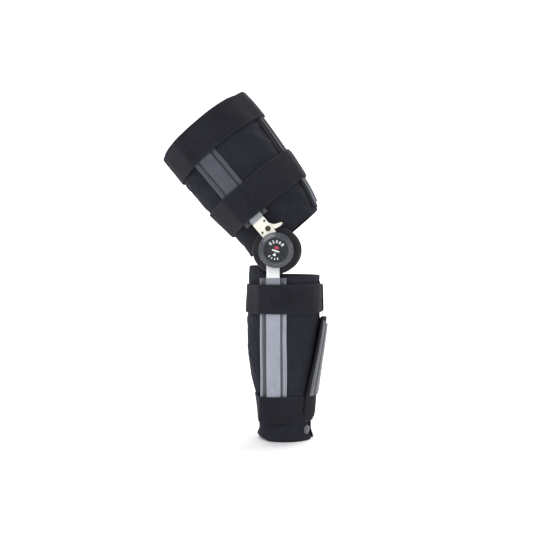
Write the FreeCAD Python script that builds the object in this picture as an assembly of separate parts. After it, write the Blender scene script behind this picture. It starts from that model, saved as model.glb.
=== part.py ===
"""Hinged range-of-motion knee brace for a right leg, as a bench assembly.

Millimetres and degrees. The origin is on the knee hinge axis, midway between the two hinges.
+Z points up along the shank, +X to the front of the leg, -Y to the outer (lateral) side.
The shank cuff hangs below the origin. Thigh parts are drawn upright about the same axis, then
leaned back by REST_FLEX. Hinge parts are drawn on the -Y side and mirrored for the medial side;
"outward" is the distance from the mid-plane, and names ending in _IN are inner faces.
"""
import FreeCAD, Part
import math
import os

Vector = FreeCAD.Vector
ORIGIN = Vector(0, 0, 0)
Y_AXIS = Vector(0, 1, 0)

# ---- motion ----
REST_FLEX = 40.0          # knee flexion at rest
FLEX_MAX = 90.0           # travel of the stop pin in its slot

# ---- arms ----
BAR_W, BAR_T = 20.0, 2.5  # aluminium arm section
HALF_T = BAR_T / 2
UPPER_X, LOWER_X = 7.7, -5.0      # arm centre lines, forward of the hinge axis
UPPER_STANDOFF, LOWER_STANDOFF = 3.4, 3.6  # bar centre outside the sleeve surface
LOWER_END_Z = -238.0      # far end of the lower arm, inside its pocket

# ---- hinge layers, outward from the mid-plane ----
PAD_IN = 58.4
BACKING_IN = 63.0
LOWER_IN = 66.1
LOWER_OUT = LOWER_IN + BAR_T
UPPER_IN = LOWER_OUT + 0.6        # the friction washer fills this gap
UPPER_OUT = UPPER_IN + BAR_T
LAYER_GAP = 0.1
LOCK_T = 2.5
LOCK_IN = UPPER_OUT + LAYER_GAP
COVER_T = 1.5
COVER_IN = LOCK_IN + LOCK_T + LAYER_GAP
COVER_OUT = COVER_IN + COVER_T
CAP_IN = COVER_OUT + 0.3
WORKS_IN, WORKS_OUT = LOCK_IN + 0.05, LOCK_IN + 2.35    # faces of lock bolt and lever

# ---- hinge radii and places ----
BACKING_R = 36.6
HEAD_R = 23.0             # arm heads
CAP_R = 27.0
FACE_R = 18.0             # raised middle of the cap
SHANK_R = 4.0             # pivot shank
BUSH_HOLE_R = 6.0         # hole for the bush in the upper arm
PIVOT_TIP_R, PIVOT_TIP_OUT = 2.7, CAP_IN + 2.4
LOCK_R, NOTCH_R, NOTCH_STEP = 17.5, 14.9, 10.0
LOWER_KEY, LOCK_KEY = 3.5, 2.75   # half sides of the pivot bolt's two squares
KEY_CLEARANCE = 0.05
PIN_R, PIN_ORBIT = 2.0, 11.2
SLOT_CLEARANCE = 0.15
# (x, z) in the upright thigh frame
SCREW_XZ = (11.7, 33.0)
RIVETS_XZ = [(15.0, 45.6), (1.2, 33.4)]   # the one further from the axis comes first
SCREW_R, RIVET_R = 2.0, 1.5
SCREW_HOLE_R, RIVET_HOLE_R = 2.06, 1.52

# ---- soft goods ----
SLEEVE_T = 4.0
SLIT = 8.0                # half width of the front opening in each sleeve
CHANNEL_HALF, FLANGE_HALF = 11.6, 20.0    # half widths of a pocket
POCKET_BACK, POCKET_COVER = 1.5, 1.2      # how far a pocket goes beyond the bar's faces
POCKET_PLAY = 0.25
STRAP_T = 2.5
STRAP_GAP = 0.35          # strap above what it wraps
TAIL_GAP = 0.25           # doubled-back end above the strap
TAIL_START = 44.0         # angle where the doubled-back end begins
THIGH_POCKET, THIGH_BARE = (54.0, 205.0), (30.0, 54.0)    # heights of pocket and bare arm
CALF_POCKET, CALF_BARE = (-244.5, -42.5), (-42.5, -30.0)

# Sleeve outer surface: height along the leg, forward centre, half depth, half width
THIGH_STATIONS = [
    (8, 24, 66, 57), (38, 30, 68.5, 59.5), (75, 31.5, 73, 66), (115, 31.5, 77.5, 71),
    (160, 33, 80, 75), (200, 34, 80.5, 77.5), (229, 33.5, 79.5, 78),
]
CALF_STATIONS = [
    (-16, 11, 57, 60), (-45, 9.8, 56.5, 60), (-100, 9, 58, 59), (-150, 7.5, 55.5, 55.5),
    (-200, 7.8, 50, 49.5), (-240, 11, 43, 44.5), (-280, 11, 41.5, 41.5), (-297, 10, 46, 44),
]

# Side outlines behind the knee, (x, z)
THIGH_SCOOP = [(-70, -5), (-70, 72.5), (-5.5, 8.0), (-5.5, -5)]
CALF_SCOOP = [(-70, 0), (-70, -73.5), (-30, -33.5), (-30, 0)]
CALF_MARGIN = [(-70, -73.5), (-36.5, -40.0), (-17.0, -40.0), (-38.0, -19.0), (-70, -17.0)]

# Outlines in the lock layer, (x, z) in the upright thigh frame
LOCK_BOLT = [
    (-0.7, 18.3), (0.7, 18.3), (0.75, 21.6), (2.4, 23.6), (5.2, 23.6), (5.2, 25.98),
    (-1.0, 25.98), (-1.0, 29.3), (0.9, 29.3), (0.9, 31.2), (-2.7, 31.2), (-2.7, 23.6),
    (-0.75, 21.6),
]
LEVER_TONGUE = [
    (12.0, 39.0), (17.0, 39.6), (19.6, 37.6), (21.4, 34.0), (24.6, 31.3), (29.6, 29.3),
    (32.2, 28.3), (33.9, 27.0), (33.9, 25.2), (32.2, 24.2), (28.6, 24.2), (24.4, 24.8),
    (20.6, 25.9), (17.4, 27.2), (12.0, 28.2),
]
SPRING_LINE = [
    (-0.6, 47.6), (9.5, 47.9), (11.2, 46.4), (10.8, 42.8), (5.0, 41.6), (1.5, 40.4),
    (2.2, 38.6), (6.0, 38.5),
]

# Dial ring section: radius, outward distance beyond the ring's underside
RING_UNDER, RING_TOP = CAP_IN + 2.25, CAP_IN + 6.0
RING_SECTION = [
    (18.15, RING_UNDER), (CAP_R, RING_UNDER), (CAP_R, RING_UNDER + 1.0),
    (CAP_R - 1.2, RING_UNDER + 2.2), (20.4, RING_TOP), (18.9, RING_TOP),
    (18.15, RING_TOP - 0.9),
]


# ================= number and curve helpers =================
def spaced(start, stop, count):
    """Evenly spaced values, both ends included."""
    return [start + (stop - start) * i / (count - 1) for i in range(count)]


def polar(radius, degrees):
    """(x, z) at an angle forward of straight up."""
    angle = math.radians(degrees)
    return (radius * math.sin(angle), radius * math.cos(angle))


PIN_XZ = polar(PIN_ORBIT, 180.0)  # straight below the axis on the lower head


def interp(stations, z):
    """Centre, half depth and half width at height z (Catmull-Rom on the table)."""
    rows = sorted(stations)
    if z <= rows[0][0]:
        return rows[0][1:]
    if z >= rows[-1][0]:
        return rows[-1][1:]
    i = next(i for i in range(len(rows) - 1) if rows[i][0] <= z <= rows[i + 1][0])
    before, low, high = rows[max(i - 1, 0)], rows[i], rows[i + 1]
    after = rows[min(i + 2, len(rows) - 1)]
    step = high[0] - low[0]
    k = (z - low[0]) / step
    out = []
    for col in (1, 2, 3):
        slope_low = (high[col] - before[col]) / (high[0] - before[0]) * step
        slope_high = (after[col] - low[col]) / (after[0] - low[0]) * step
        out.append((2 * k**3 - 3 * k**2 + 1) * low[col] + (k**3 - 2 * k**2 + k) * slope_low
                   + (-2 * k**3 + 3 * k**2) * high[col] + (k**3 - k**2) * slope_high)
    return tuple(out)


def side_distance(stations, z, x):
    """Outward distance of the sleeve surface at height z and forward place x."""
    centre, depth, width = interp(stations, z)
    return width * math.sqrt(max(0.0, 1 - ((x - centre) / depth) ** 2))


def ellipse(stations, z, offset, count=40):
    """(x, y) points round the sleeve surface, offset outwards."""
    centre, depth, width = interp(stations, z)
    angles = [2 * math.pi * i / count for i in range(count)]
    return [(centre + (depth + offset) * math.cos(a), (width + offset) * math.sin(a))
            for a in angles]


def spline(points, closed=False):
    curve = Part.BSplineCurve()
    if closed:
        curve.interpolate(points, PeriodicFlag=True)
    else:
        curve.interpolate(points)
    return curve


def hull(points):
    """Convex hull of (x, y) points."""
    points = sorted(set((round(x, 5), round(y, 5)) for x, y in points))

    def chain(ordered):
        kept = []
        for p in ordered:
            while len(kept) > 1:
                (ax, ay), (bx, by) = kept[-2:]
                if (bx - ax) * (p[1] - ay) - (by - ay) * (p[0] - ax) > 0:
                    break
                kept.pop()
            kept.append(p)
        return kept

    return chain(points)[:-1] + chain(points[::-1])[:-1]


def ray_resample(polygon, centre, count=56):
    """Points of a convex polygon at equal angles from (centre, 0)."""
    out = []
    for i in range(count):
        angle = 2 * math.pi * i / count
        dx, dy = math.cos(angle), math.sin(angle)
        reach = 0
        for k, (x, y) in enumerate(polygon):
            next_x, next_y = polygon[(k + 1) % len(polygon)]
            edge_x, edge_y = next_x - x, next_y - y
            cross = dx * edge_y - dy * edge_x
            if abs(cross) < 1e-12:
                continue
            along_ray = ((x - centre) * edge_y - y * edge_x) / cross
            along_edge = ((x - centre) * dy - y * dx) / cross
            if along_ray > 0 and -1e-9 <= along_edge <= 1 + 1e-9:
                reach = max(reach, along_ray)
        out.append((centre + reach * dx, reach * dy))
    return out


def smooth_ring(ring):
    n = len(ring)
    return [tuple((ring[i - 1][k] + 2 * ring[i][k] + ring[(i + 1) % n][k]) / 4 for k in (0, 1))
            for i in range(n)]


def grow(ring, centre, distance):
    """Push a ring out along its rays from (centre, 0)."""
    out = []
    for x, y in ring:
        radius = math.hypot(x - centre, y)
        out.append((x + distance * (x - centre) / radius, y + distance * y / radius))
    return out


# ================= arm paths and the two halves of the brace =================
# Arm paths: (height, outward distance of the bar's centre)
UPPER_MID, LOWER_MID = UPPER_IN + HALF_T, LOWER_IN + HALF_T
UPPER_PATH = [(z, UPPER_MID) for z in (0, 20, 40, 56)] + [
    (z, max(side_distance(THIGH_STATIONS, z, UPPER_X) + UPPER_STANDOFF, UPPER_MID))
    for z in (95, 125, 155, 185, 208)]
LOWER_PATH = [(0, LOWER_MID), (-15, LOWER_MID), (-30, LOWER_MID), (-42, LOWER_MID - 0.1),
              (-56, 64.6)] + [
    (z, side_distance(CALF_STATIONS, z, LOWER_X) + LOWER_STANDOFF)
    for z in (-85, -110, -140, -170, -200, -228, -246)]


class Segment:
    """Thigh or calf half: sleeve, arm line, front opening and flexion at rest.

    front_y is the middle of the front opening; front_rise lifts the front bands with height.
    """

    def __init__(self, stations, path, arm_x, front_y, front_rise, flexion):
        self.stations = stations
        self.path = path
        self.arm_x = arm_x
        self.front_y = front_y
        self.front_rise = front_rise
        self.flexion = flexion

    def centre(self, z):
        return interp(self.stations, z)[0]

    def place(self, shape):
        """Turn an upright shape into its rest position."""
        if not self.flexion:
            return shape
        turned = shape.copy()
        turned.rotate(ORIGIN, Y_AXIS, -self.flexion)
        return turned


THIGH = Segment(THIGH_STATIONS, UPPER_PATH, UPPER_X,
                front_y=-4.0, front_rise=0.0, flexion=REST_FLEX)
CALF = Segment(CALF_STATIONS, LOWER_PATH, LOWER_X,
               front_y=-9.0, front_rise=4.5, flexion=0.0)


def path_linear(path, z):
    """Outward distance of a path at height z, by straight interpolation."""
    points = sorted(path)
    for (z0, w0), (z1, w1) in zip(points, points[1:]):
        if z0 <= z <= z1:
            return w0 + (w1 - w0) * (z - z0) / (z1 - z0)
    return points[0][1] if z < points[0][0] else points[-1][1]


def path_resample(path, span, count=12):
    """Evenly spaced points of the spline through a path, found by bisection."""
    curve = spline([Vector(0, w, z) for z, w in sorted(path)])
    out = []
    for z in spaced(span[0], span[1], count):
        low, high = curve.FirstParameter, curve.LastParameter
        miss_low = curve.value(low).z - z
        for _ in range(60):
            middle = (low + high) / 2
            miss = curve.value(middle).z - z
            if (miss > 0) == (miss_low > 0):
                low, miss_low = middle, miss
            else:
                high = middle
        out.append((z, curve.value((low + high) / 2).y))
    return out


# ================= solid helpers =================
def prism(points, direction):
    return Part.Face(Part.makePolygon(points + points[:1])).extrude(direction)


def plate(outline, inner, outer):
    """Plate with an (x, z) outline on the -Y side."""
    points = [Vector(x, -inner, z) for x, z in outline]
    return prism(points, Vector(0, -(outer - inner), 0))


def side_prism(outline):
    """Prism with an (x, z) outline, right across the leg."""
    return prism([Vector(x, -90, z) for x, z in outline], Vector(0, 180, 0))


def disc(radius, inner, outer, x=0.0, z=0.0):
    """Cylinder on the -Y side between two outward distances."""
    return Part.makeCylinder(radius, outer - inner, Vector(x, -inner, z), Vector(0, -1, 0))


def box(x0, x1, inner, outer, z0, z1):
    return Part.makeBox(x1 - x0, outer - inner, z1 - z0, Vector(x0, -outer, z0))


def square(half, inner, outer):
    """Square bar on the hinge axis."""
    return box(-half, half, inner, outer, -half, half)


def arc_band(r_out, r_in, start, stop, count):
    """(x, z) outline of a ring sector, drawn with chords."""
    angles = spaced(start, stop, count)
    return [polar(r_out, a) for a in angles] + [polar(r_in, a) for a in angles[::-1]]


def strip(path, near, far, centre_x, half):
    """Solid along a path between two outward offsets from it, on the -Y side."""
    a, b = ([Vector(centre_x - half, -(w + offset), z) for z, w in path]
            for offset in (near, far))
    wire = Part.Wire([spline(a).toShape(), Part.makeLine(a[-1], b[-1]),
                      spline(b[::-1]).toShape(), Part.makeLine(b[0], a[0])])
    return Part.Face(wire).extrude(Vector(2 * half, 0, 0))


def loft(sections):
    """Smooth solid through (height, ring) sections."""
    wires = [Part.Wire([spline([Vector(x, y, z) for x, y in ring], closed=True).toShape()])
             for z, ring in sections]
    return Part.makeLoft(wires, True, False)


def fillet_rim(shape, radius, outward):
    """Round the circular edges at one outward distance."""
    edges = [e for e in shape.Edges if e.Curve.TypeId == "Part::GeomCircle"
             and abs(e.CenterOfMass.y + outward) < 0.1]
    return shape.makeFillet(radius, edges)


def mirror(shape):
    return shape.mirror(ORIGIN, Y_AXIS)


def trim(shape, *tools):
    """Cut every solid by the tools and keep the largest piece of each."""
    out = []
    for solid in shape.Solids:
        for tool in tools:
            solid = solid.cut(tool)
        out.append(max(solid.Solids, key=lambda piece: piece.Volume))
    return out[0] if len(out) == 1 else Part.makeCompound(out)


def save(name, shape):
    solids = shape.Solids
    if not solids:
        raise RuntimeError(name + " has no solid")
    out = solids[0] if len(solids) == 1 else Part.makeCompound(solids)
    out.exportStep("parts/%s.step" % name)


# ================= hinge parts that stay with the calf =================
def make_condyle_pad():
    pad = disc(BACKING_R - 4, PAD_IN, BACKING_IN - 0.2)
    return fillet_rim(pad, 3.0, PAD_IN)


def make_backing_disc():
    outer = LOWER_IN - 0.1
    backing = fillet_rim(disc(BACKING_R, BACKING_IN, outer), 1.4, outer)
    backing = backing.cut(disc(6.9, BACKING_IN - 1, BACKING_IN + 2.4))    # pivot head recess
    return backing.cut(disc(5.15, BACKING_IN, LOWER_IN + 1))


def arm_blank(segment, inner, trim_z0, trim_z1):
    """Round head joined to the bar, whose end near the axis is trimmed first."""
    head = disc(HEAD_R, inner, inner + BAR_T)
    bar = strip(segment.path, -HALF_T, HALF_T, segment.arm_x, BAR_W / 2)
    return head.fuse(bar.cut(box(-40, 40, 30, 90, trim_z0, trim_z1)))


def arm_hole(inner, radius, x=0.0, z=0.0):
    return disc(radius, inner - 1, inner + BAR_T + 1, x, z)


def end_cutter(arm_x, centre_z, z0, z1):
    """Block that leaves a half-round end on an arm."""
    block = box(arm_x - 15, arm_x + 15, 20, 99, z0, z1)
    return block.cut(disc(BAR_W / 2, 10, 99, arm_x, centre_z))


def make_lower_arm():
    arm = arm_blank(CALF, LOWER_IN, -5, 20)
    # square hole that keys the pivot bolt
    arm = arm.cut(square(LOWER_KEY + KEY_CLEARANCE, LOWER_IN - 1, LOWER_OUT + 1))
    arm = arm.cut(arm_hole(LOWER_IN, PIN_R + 0.01, *PIN_XZ))
    round_z = LOWER_END_Z + BAR_W / 2
    cutter = end_cutter(LOWER_X, round_z, LOWER_END_Z - 12, round_z)
    return arm.cut(cutter).removeSplitter()


def make_friction_washer():
    return disc(8.5, LOWER_OUT + 0.05, UPPER_IN - 0.05).cut(disc(5.1, LOWER_IN, UPPER_IN + 1))


def make_pivot_bolt():
    """Head, square, round shank, small square and drilled tip, from the inside out."""
    bolt = disc(6.5, BACKING_IN + 0.15, BACKING_IN + 2.3)
    bolt = bolt.fuse(square(LOWER_KEY, BACKING_IN + 2.3, LOWER_OUT))
    bolt = bolt.fuse(disc(SHANK_R, LOWER_OUT, LOCK_IN - 0.05))
    bolt = bolt.fuse(square(LOCK_KEY, LOCK_IN - 0.05, CAP_IN - 0.1))
    bolt = bolt.fuse(disc(PIVOT_TIP_R, CAP_IN - 0.1, PIVOT_TIP_OUT))
    return bolt.cut(disc(1.6, CAP_IN - 3.0, CAP_IN + 3)).removeSplitter()


def make_lock_disc():
    half = 0.95           # half width of a notch at the rim
    corners = ((LOCK_R, -half), (NOTCH_R, -half * 0.9), (NOTCH_R, half * 0.9), (LOCK_R, half))
    outline = []
    for i in range(int(360 / NOTCH_STEP)):
        for radius, offset in corners:
            turn = math.degrees(math.asin(offset / radius))
            outline.append(polar(radius, i * NOTCH_STEP + turn))
    toothed = plate(outline, LOCK_IN, LOCK_IN + LOCK_T)
    return toothed.cut(square(LOCK_KEY + KEY_CLEARANCE, LOCK_IN - 1, LOCK_IN + 4))


def make_stop_pin():
    return disc(PIN_R, LOWER_IN + 0.02, LOCK_IN - 0.1, *PIN_XZ)


def make_hinge_cap():
    plate_out = CAP_IN + 2.2
    hole = disc(PIVOT_TIP_R + 0.02, CAP_IN - 1, PIVOT_TIP_OUT + 0.05)
    cap = disc(CAP_R, CAP_IN, plate_out).cut(hole)
    cap = cap.fuse(disc(FACE_R, plate_out, CAP_IN + 4.0)).cut(hole)
    # skirts closing the gap to the backing disc, clear of both arms
    for start, stop in ((50.0, 165.5), (-138.0, -106.0)):
        outline = arc_band(CAP_R - 0.6, CAP_R - 2.4, start, stop, 17)
        cap = cap.fuse(plate(outline, LOWER_IN + 0.1, CAP_IN + 0.5))
    return cap.removeSplitter()


def make_dial_ring():
    """Sloped ring round the cap's face, with a mark every 10 degrees."""
    points = [Vector(radius, -outward, 0) for radius, outward in RING_SECTION]
    face = Part.Face(Part.makePolygon(points + points[:1]))
    ring = face.revolve(ORIGIN, Y_AXIS, 360)
    for i in range(36):
        start = 23.6 if i % 3 else 22.4   # every third mark is longer
        mark = box(-0.25, 0.25, RING_UNDER + 2.0, RING_TOP + 1, start, 25.6)
        mark.rotate(ORIGIN, Y_AXIS, i * 10)
        ring = ring.cut(mark)
    return ring


def make_cap_label():
    return disc(FACE_R - 0.1, CAP_IN + 4.05, CAP_IN + 4.45)


# ================= hinge parts that turn with the thigh, drawn upright =================
def make_upper_arm():
    arm = arm_blank(THIGH, UPPER_IN, -20, 3)
    arm = arm.cut(arm_hole(UPPER_IN, BUSH_HOLE_R))
    # Arc slot for the stop pin: in this frame the pin sits at 180 degrees + flexion.
    over_travel = 1.2
    ends = (180.0 - over_travel, 180.0 + FLEX_MAX + over_travel)
    half = PIN_R + SLOT_CLEARANCE
    outline = arc_band(PIN_ORBIT + half, PIN_ORBIT - half, *ends, 31)
    slot = plate(outline, UPPER_IN - 1, UPPER_OUT + 1)
    for angle in ends:
        slot = slot.fuse(arm_hole(UPPER_IN, half, *polar(PIN_ORBIT, angle)))
    arm = arm.cut(slot)
    arm = arm.cut(arm_hole(UPPER_IN, SCREW_R + 0.02, *SCREW_XZ))
    for rivet in RIVETS_XZ:
        arm = arm.cut(arm_hole(UPPER_IN, RIVET_HOLE_R, *rivet))
    end_z = UPPER_PATH[-1][0]
    round_z = end_z - BAR_W / 2
    return arm.cut(end_cutter(UPPER_X, round_z, round_z, end_z + 1)).removeSplitter()


def make_pivot_bush():
    bush = disc(BUSH_HOLE_R - 0.02, UPPER_IN, UPPER_OUT)
    return bush.cut(arm_hole(UPPER_IN, SHANK_R + 0.05))


def make_lock_bolt():
    """Slides along the arm; drawn released, tip clear of the lock disc."""
    return plate(LOCK_BOLT, WORKS_IN, WORKS_OUT)


def make_lock_lever():
    """Boss, finger, tongue and thumb ridge, drawn released."""
    pivot_x, pivot_z = SCREW_XZ
    length, tip_half = 12.6, 1.15
    slope = math.radians(26.0)
    dir_x, dir_z = -math.cos(slope), -math.sin(slope)     # finger points towards the bolt
    # distance along the finger, signed half width
    edge = [(0, 2.6), (length - 7.5, tip_half), (length, tip_half)]
    edge += [(along, -half) for along, half in edge[::-1]]
    outline = [(pivot_x + dir_x * along - dir_z * half, pivot_z + dir_z * along + dir_x * half)
               for along, half in edge]
    tip = (pivot_x + dir_x * length, pivot_z + dir_z * length)
    lever = disc(5.2, WORKS_IN, WORKS_OUT, *SCREW_XZ)
    lever = lever.fuse(plate(outline, WORKS_IN, WORKS_OUT))
    lever = lever.fuse(disc(tip_half, WORKS_IN, WORKS_OUT, *tip))
    lever = lever.fuse(plate(LEVER_TONGUE, WORKS_IN, WORKS_OUT))
    lever = lever.cut(disc(SCREW_HOLE_R, WORKS_IN - 1, WORKS_OUT + 1, *SCREW_XZ))
    ridge = box(30.4, 32.6, WORKS_OUT, WORKS_OUT + 1.2, 24.7, 27.6)
    return lever.removeSplitter().fuse(ridge)


def make_lever_screw():
    x, z = SCREW_XZ
    head_out = COVER_OUT + 1.4
    screw = disc(SCREW_R, UPPER_IN + 0.05, COVER_OUT, x, z)
    head = fillet_rim(disc(4.2, COVER_OUT + 0.05, head_out, x, z), 0.8, head_out)
    neck = disc(SCREW_R, COVER_OUT - 0.1, COVER_OUT + 0.1, x, z)
    screw = screw.fuse(neck).fuse(head)
    for half_x, half_z in ((2.4, 0.45), (0.45, 2.4)):     # cross recess
        screw = screw.cut(box(x - half_x, x + half_x, COVER_IN + 2.0, COVER_IN + 4,
                              z - half_z, z + half_z))
    return screw.removeSplitter()


def make_lock_cover():
    """Plate over the lock works, with far and rear walls reaching in towards the arm."""
    rear, front = UPPER_X - 10.6, UPPER_X + 10.6
    bottom, top = 21.8, 51.3
    wall_out = COVER_IN + 0.2
    outline = [(rear, bottom), (front, bottom), (front, top), (rear, top)]
    cover = plate(outline, COVER_IN, COVER_OUT)
    cover = cover.fuse(box(rear, front, LOCK_IN, wall_out, 49.4, top))
    cover = cover.fuse(box(rear, rear + 1.5, LOCK_IN, wall_out, 32.0, top))
    # spacer boss at the far rivet
    cover = cover.fuse(disc(3.0, LOCK_IN, wall_out, *RIVETS_XZ[0]))
    cover = cover.cut(disc(SCREW_HOLE_R, LOCK_IN - 1, COVER_IN + 3, *SCREW_XZ))
    for rivet in RIVETS_XZ:
        cover = cover.cut(disc(RIVET_HOLE_R, LOCK_IN - 1, COVER_IN + 3, *rivet))
    return cover.removeSplitter()


def make_cover_rivets():
    foot_in = UPPER_IN - 0.9
    out = []
    for place in RIVETS_XZ:
        rivet = disc(RIVET_R, foot_in, COVER_OUT, *place)
        rivet = rivet.fuse(disc(2.3, foot_in, UPPER_IN - 0.05, *place))
        head = disc(1.75, COVER_OUT, COVER_OUT + 0.4, *place)
        out.append(rivet.fuse(head).removeSplitter())
    return Part.makeCompound(out)


def make_lever_spring():
    """Bent wire passing behind the far rivet's boss, trimmed clear of the cover."""
    points = [Vector(x, -(LOCK_IN + 1.2), z) for x, z in SPRING_LINE]
    curve = spline(points)
    start_tangent = curve.tangent(curve.FirstParameter)[0]
    profile = Part.Wire([Part.Circle(points[0], start_tangent, 0.45).toShape()])
    spring = Part.Wire([curve.toShape()]).makePipeShell([profile], True, True)
    return trim(spring, make_lock_cover())


CALF_HINGE = {
    "condyle_pad": make_condyle_pad, "backing_disc": make_backing_disc,
    "lower_arm": make_lower_arm, "friction_washer": make_friction_washer,
    "pivot_bolt": make_pivot_bolt, "lock_disc": make_lock_disc, "stop_pin": make_stop_pin,
    "hinge_cap": make_hinge_cap, "dial_ring": make_dial_ring, "cap_label": make_cap_label,
}
THIGH_HINGE = {
    "upper_arm": make_upper_arm, "pivot_bush": make_pivot_bush, "lock_bolt": make_lock_bolt,
    "lock_lever": make_lock_lever, "lever_screw": make_lever_screw,
    "lock_cover": make_lock_cover, "cover_rivets": make_cover_rivets,
    "lever_spring": make_lever_spring,
}


# ================= soft goods =================
def tube(stations, z0, z1, inner, outer, count, rise=0.0):
    """Hollow tube between two offsets from the sleeve surface.

    rise is an extra offset that grows from nothing at z = -235 to its full value at -110.
    """
    def rings(heights, offset):
        return [(z, ellipse(stations, z, offset + rise * min(1.0, max(0.0, (z + 235.0) / 125.0))))
                for z in heights]

    heights = spaced(z0, z1, count)
    overrun = 3.0         # the bore runs past both ends
    bore_heights = [z0 - overrun] + heights[1:-1] + [z1 + overrun]
    return loft(rings(heights, outer)).cut(loft(rings(bore_heights, inner)))


def make_thigh_sleeve():
    sleeve = tube(THIGH_STATIONS, 9.0, 229.0, -SLEEVE_T, 0.0, 10)
    sleeve = sleeve.cut(Part.makeBox(120, 2 * SLIT, 260, Vector(40, THIGH.front_y - SLIT, 0)))
    # scoop behind the knee, so that the bent sleeves meet without crushing
    return sleeve.cut(side_prism(THIGH_SCOOP))


def make_thigh_margin():
    return tube(THIGH_STATIONS, 20.0, 60.0, -SLEEVE_T, 0.0, 4).common(side_prism(THIGH_SCOOP))


def make_calf_sleeve():
    sleeve = tube(CALF_STATIONS, -297.0, -40.0, -SLEEVE_T, 0.0, 10)
    sleeve = sleeve.cut(Part.makeBox(120, 2 * SLIT, 300, Vector(20, CALF.front_y - SLIT, -300)))
    return sleeve.cut(side_prism(CALF_SCOOP))


def make_calf_margin():
    return tube(CALF_STATIONS, -62.0, -17.0, -SLEEVE_T, 0.0, 4).common(side_prism(CALF_MARGIN))


def make_pocket(segment, span):
    """Vinyl pocket: flanged strip with a raised channel that holds the arm, on the -Y side."""
    path, x = path_resample(segment.path, span), segment.arm_x
    back = -HALF_T - POCKET_BACK
    flange = strip(path, back, -HALF_T - POCKET_PLAY, x, FLANGE_HALF)
    channel = strip(path, back, HALF_T + POCKET_COVER, x, CHANNEL_HALF)
    void = strip(path, -HALF_T - POCKET_PLAY, HALF_T + POCKET_PLAY, x, BAR_W / 2 + 0.3)
    return flange.fuse(channel).cut(void)


def seat(segment, span, half, depth):
    """Beds that a pocket or a bare arm presses into the sleeve, on both sides."""
    bed = strip(path_resample(segment.path, span), -HALF_T - depth, 14.0, segment.arm_x, half)
    return bed, mirror(bed)


def press_arm(segment, sleeve, pocket_span, bare_span):
    return trim(sleeve, *seat(segment, pocket_span, FLANGE_HALF + 0.1, 1.6),
                *seat(segment, bare_span, BAR_W / 2 + 0.6, 0.5))


# Straps: name, segment, bottom, top, offset of the front strip wrapped over (None: passes
# under it), angle where the doubled-back end stops, angle of the slide loop.
# Angles run from the front towards the inner side.
STRAPS = [
    ("thigh_upper", THIGH, 179.0, 227.0, 5.8, 96, 35.0),
    ("thigh_lower", THIGH, 62.0, 112.0, 5.8, 96, 35.0),
    ("calf_upper", CALF, -98.0, -54.0, None, 100, 35.0),
    ("calf_lower", CALF, -268.0, -228.0, None, 100, 50.0),
]


def strap_sections(segment, z0, z1, front_offset):
    """(height, centre, ring) of a convex wrap round sleeve, pockets and front strip."""
    out = []
    for z in spaced(z0, z1, 4):
        centre = segment.centre(z)
        arm = path_linear(segment.path, z)
        points = ellipse(segment.stations, z, 0.3, 96)
        for half, outward in ((CHANNEL_HALF + 0.6, arm + HALF_T + POCKET_COVER + 0.7),
                              (FLANGE_HALF + 0.6, arm - HALF_T + 0.1)):
            for x in (segment.arm_x - half, segment.arm_x + half):
                points += [(x, outward), (x, -outward)]
        if front_offset is not None:
            points += [(x, y) for x, y in ellipse(segment.stations, z, front_offset, 96)
                       if abs(y - segment.front_y) < 24 and x > centre]
        out.append((z, centre, smooth_ring(ray_resample(hull(points), centre))))
    return out


def strap_ring(sections, inner, outer):
    """Band between two distances from the wrap; its bore runs past both ends."""
    overrun = [-2.0] + [0] * (len(sections) - 2) + [2.0]
    solid = loft([(z, grow(ring, centre, outer)) for z, centre, ring in sections])
    bore = loft([(z + extra, grow(ring, centre, inner))
                 for extra, (z, centre, ring) in zip(overrun, sections)])
    return solid.cut(bore)


def make_strap(segment, sections, z0, z1, tail_stop):
    """Band, and its doubled-back end as a sector of a second layer."""
    band_out = STRAP_GAP + STRAP_T
    band = strap_ring(sections, STRAP_GAP, band_out)
    tail = strap_ring(sections, band_out + TAIL_GAP, STRAP_GAP + 2 * STRAP_T)
    centre = segment.centre((z0 + z1) / 2)
    reach, base_z = 200, z0 - 5
    sector = [Vector(centre, 0, base_z)]
    for degrees in spaced(TAIL_START, tail_stop, 7):
        angle = math.radians(degrees)
        sector.append(Vector(centre + reach * math.cos(angle), reach * math.sin(angle), base_z))
    tail = tail.common(prism(sector, Vector(0, 0, z1 - z0 + 10)))
    return Part.makeCompound([band.Solids[0], tail.Solids[0]])


def make_loop(segment, sections, z0, z1, degrees):
    """Rectangular slide loop standing just clear of the strap at an angle."""
    angle = math.radians(degrees)
    strap_r = 0
    for z, centre, ring in sections:
        for x, y in grow(ring, centre, STRAP_GAP + STRAP_T):
            bearing = math.degrees(math.atan2(y, x - centre))
            if abs((bearing - degrees + 180) % 360 - 180) < 14:
                strap_r = max(strap_r, (x - centre) * math.cos(angle) + y * math.sin(angle))
    width, height, window_w, rail = 17.0, z1 - z0 + 7.0, 10.0, 3.2
    mid_z = (z0 + z1) / 2
    base_z = mid_z - height / 2
    inner_r = strap_r + 0.35
    frame = Part.makeBox(3.2, width, height, Vector(inner_r, -width / 2, base_z))
    # the four edges that run outwards
    corners = [e for e in frame.Edges
               if abs(e.Vertexes[0].Z - e.Vertexes[-1].Z) < 0.01
               and abs(e.Vertexes[0].Y - e.Vertexes[-1].Y) < 0.01]
    frame = frame.makeFillet(1.4, corners)
    frame = frame.cut(Part.makeBox(8, window_w, height - 2 * rail,
                                   Vector(inner_r - 2, -window_w / 2, base_z + rail)))
    frame.rotate(ORIGIN, Vector(0, 0, 1), degrees)
    frame.translate(Vector(segment.centre(mid_z), 0, 0))
    return frame


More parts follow.
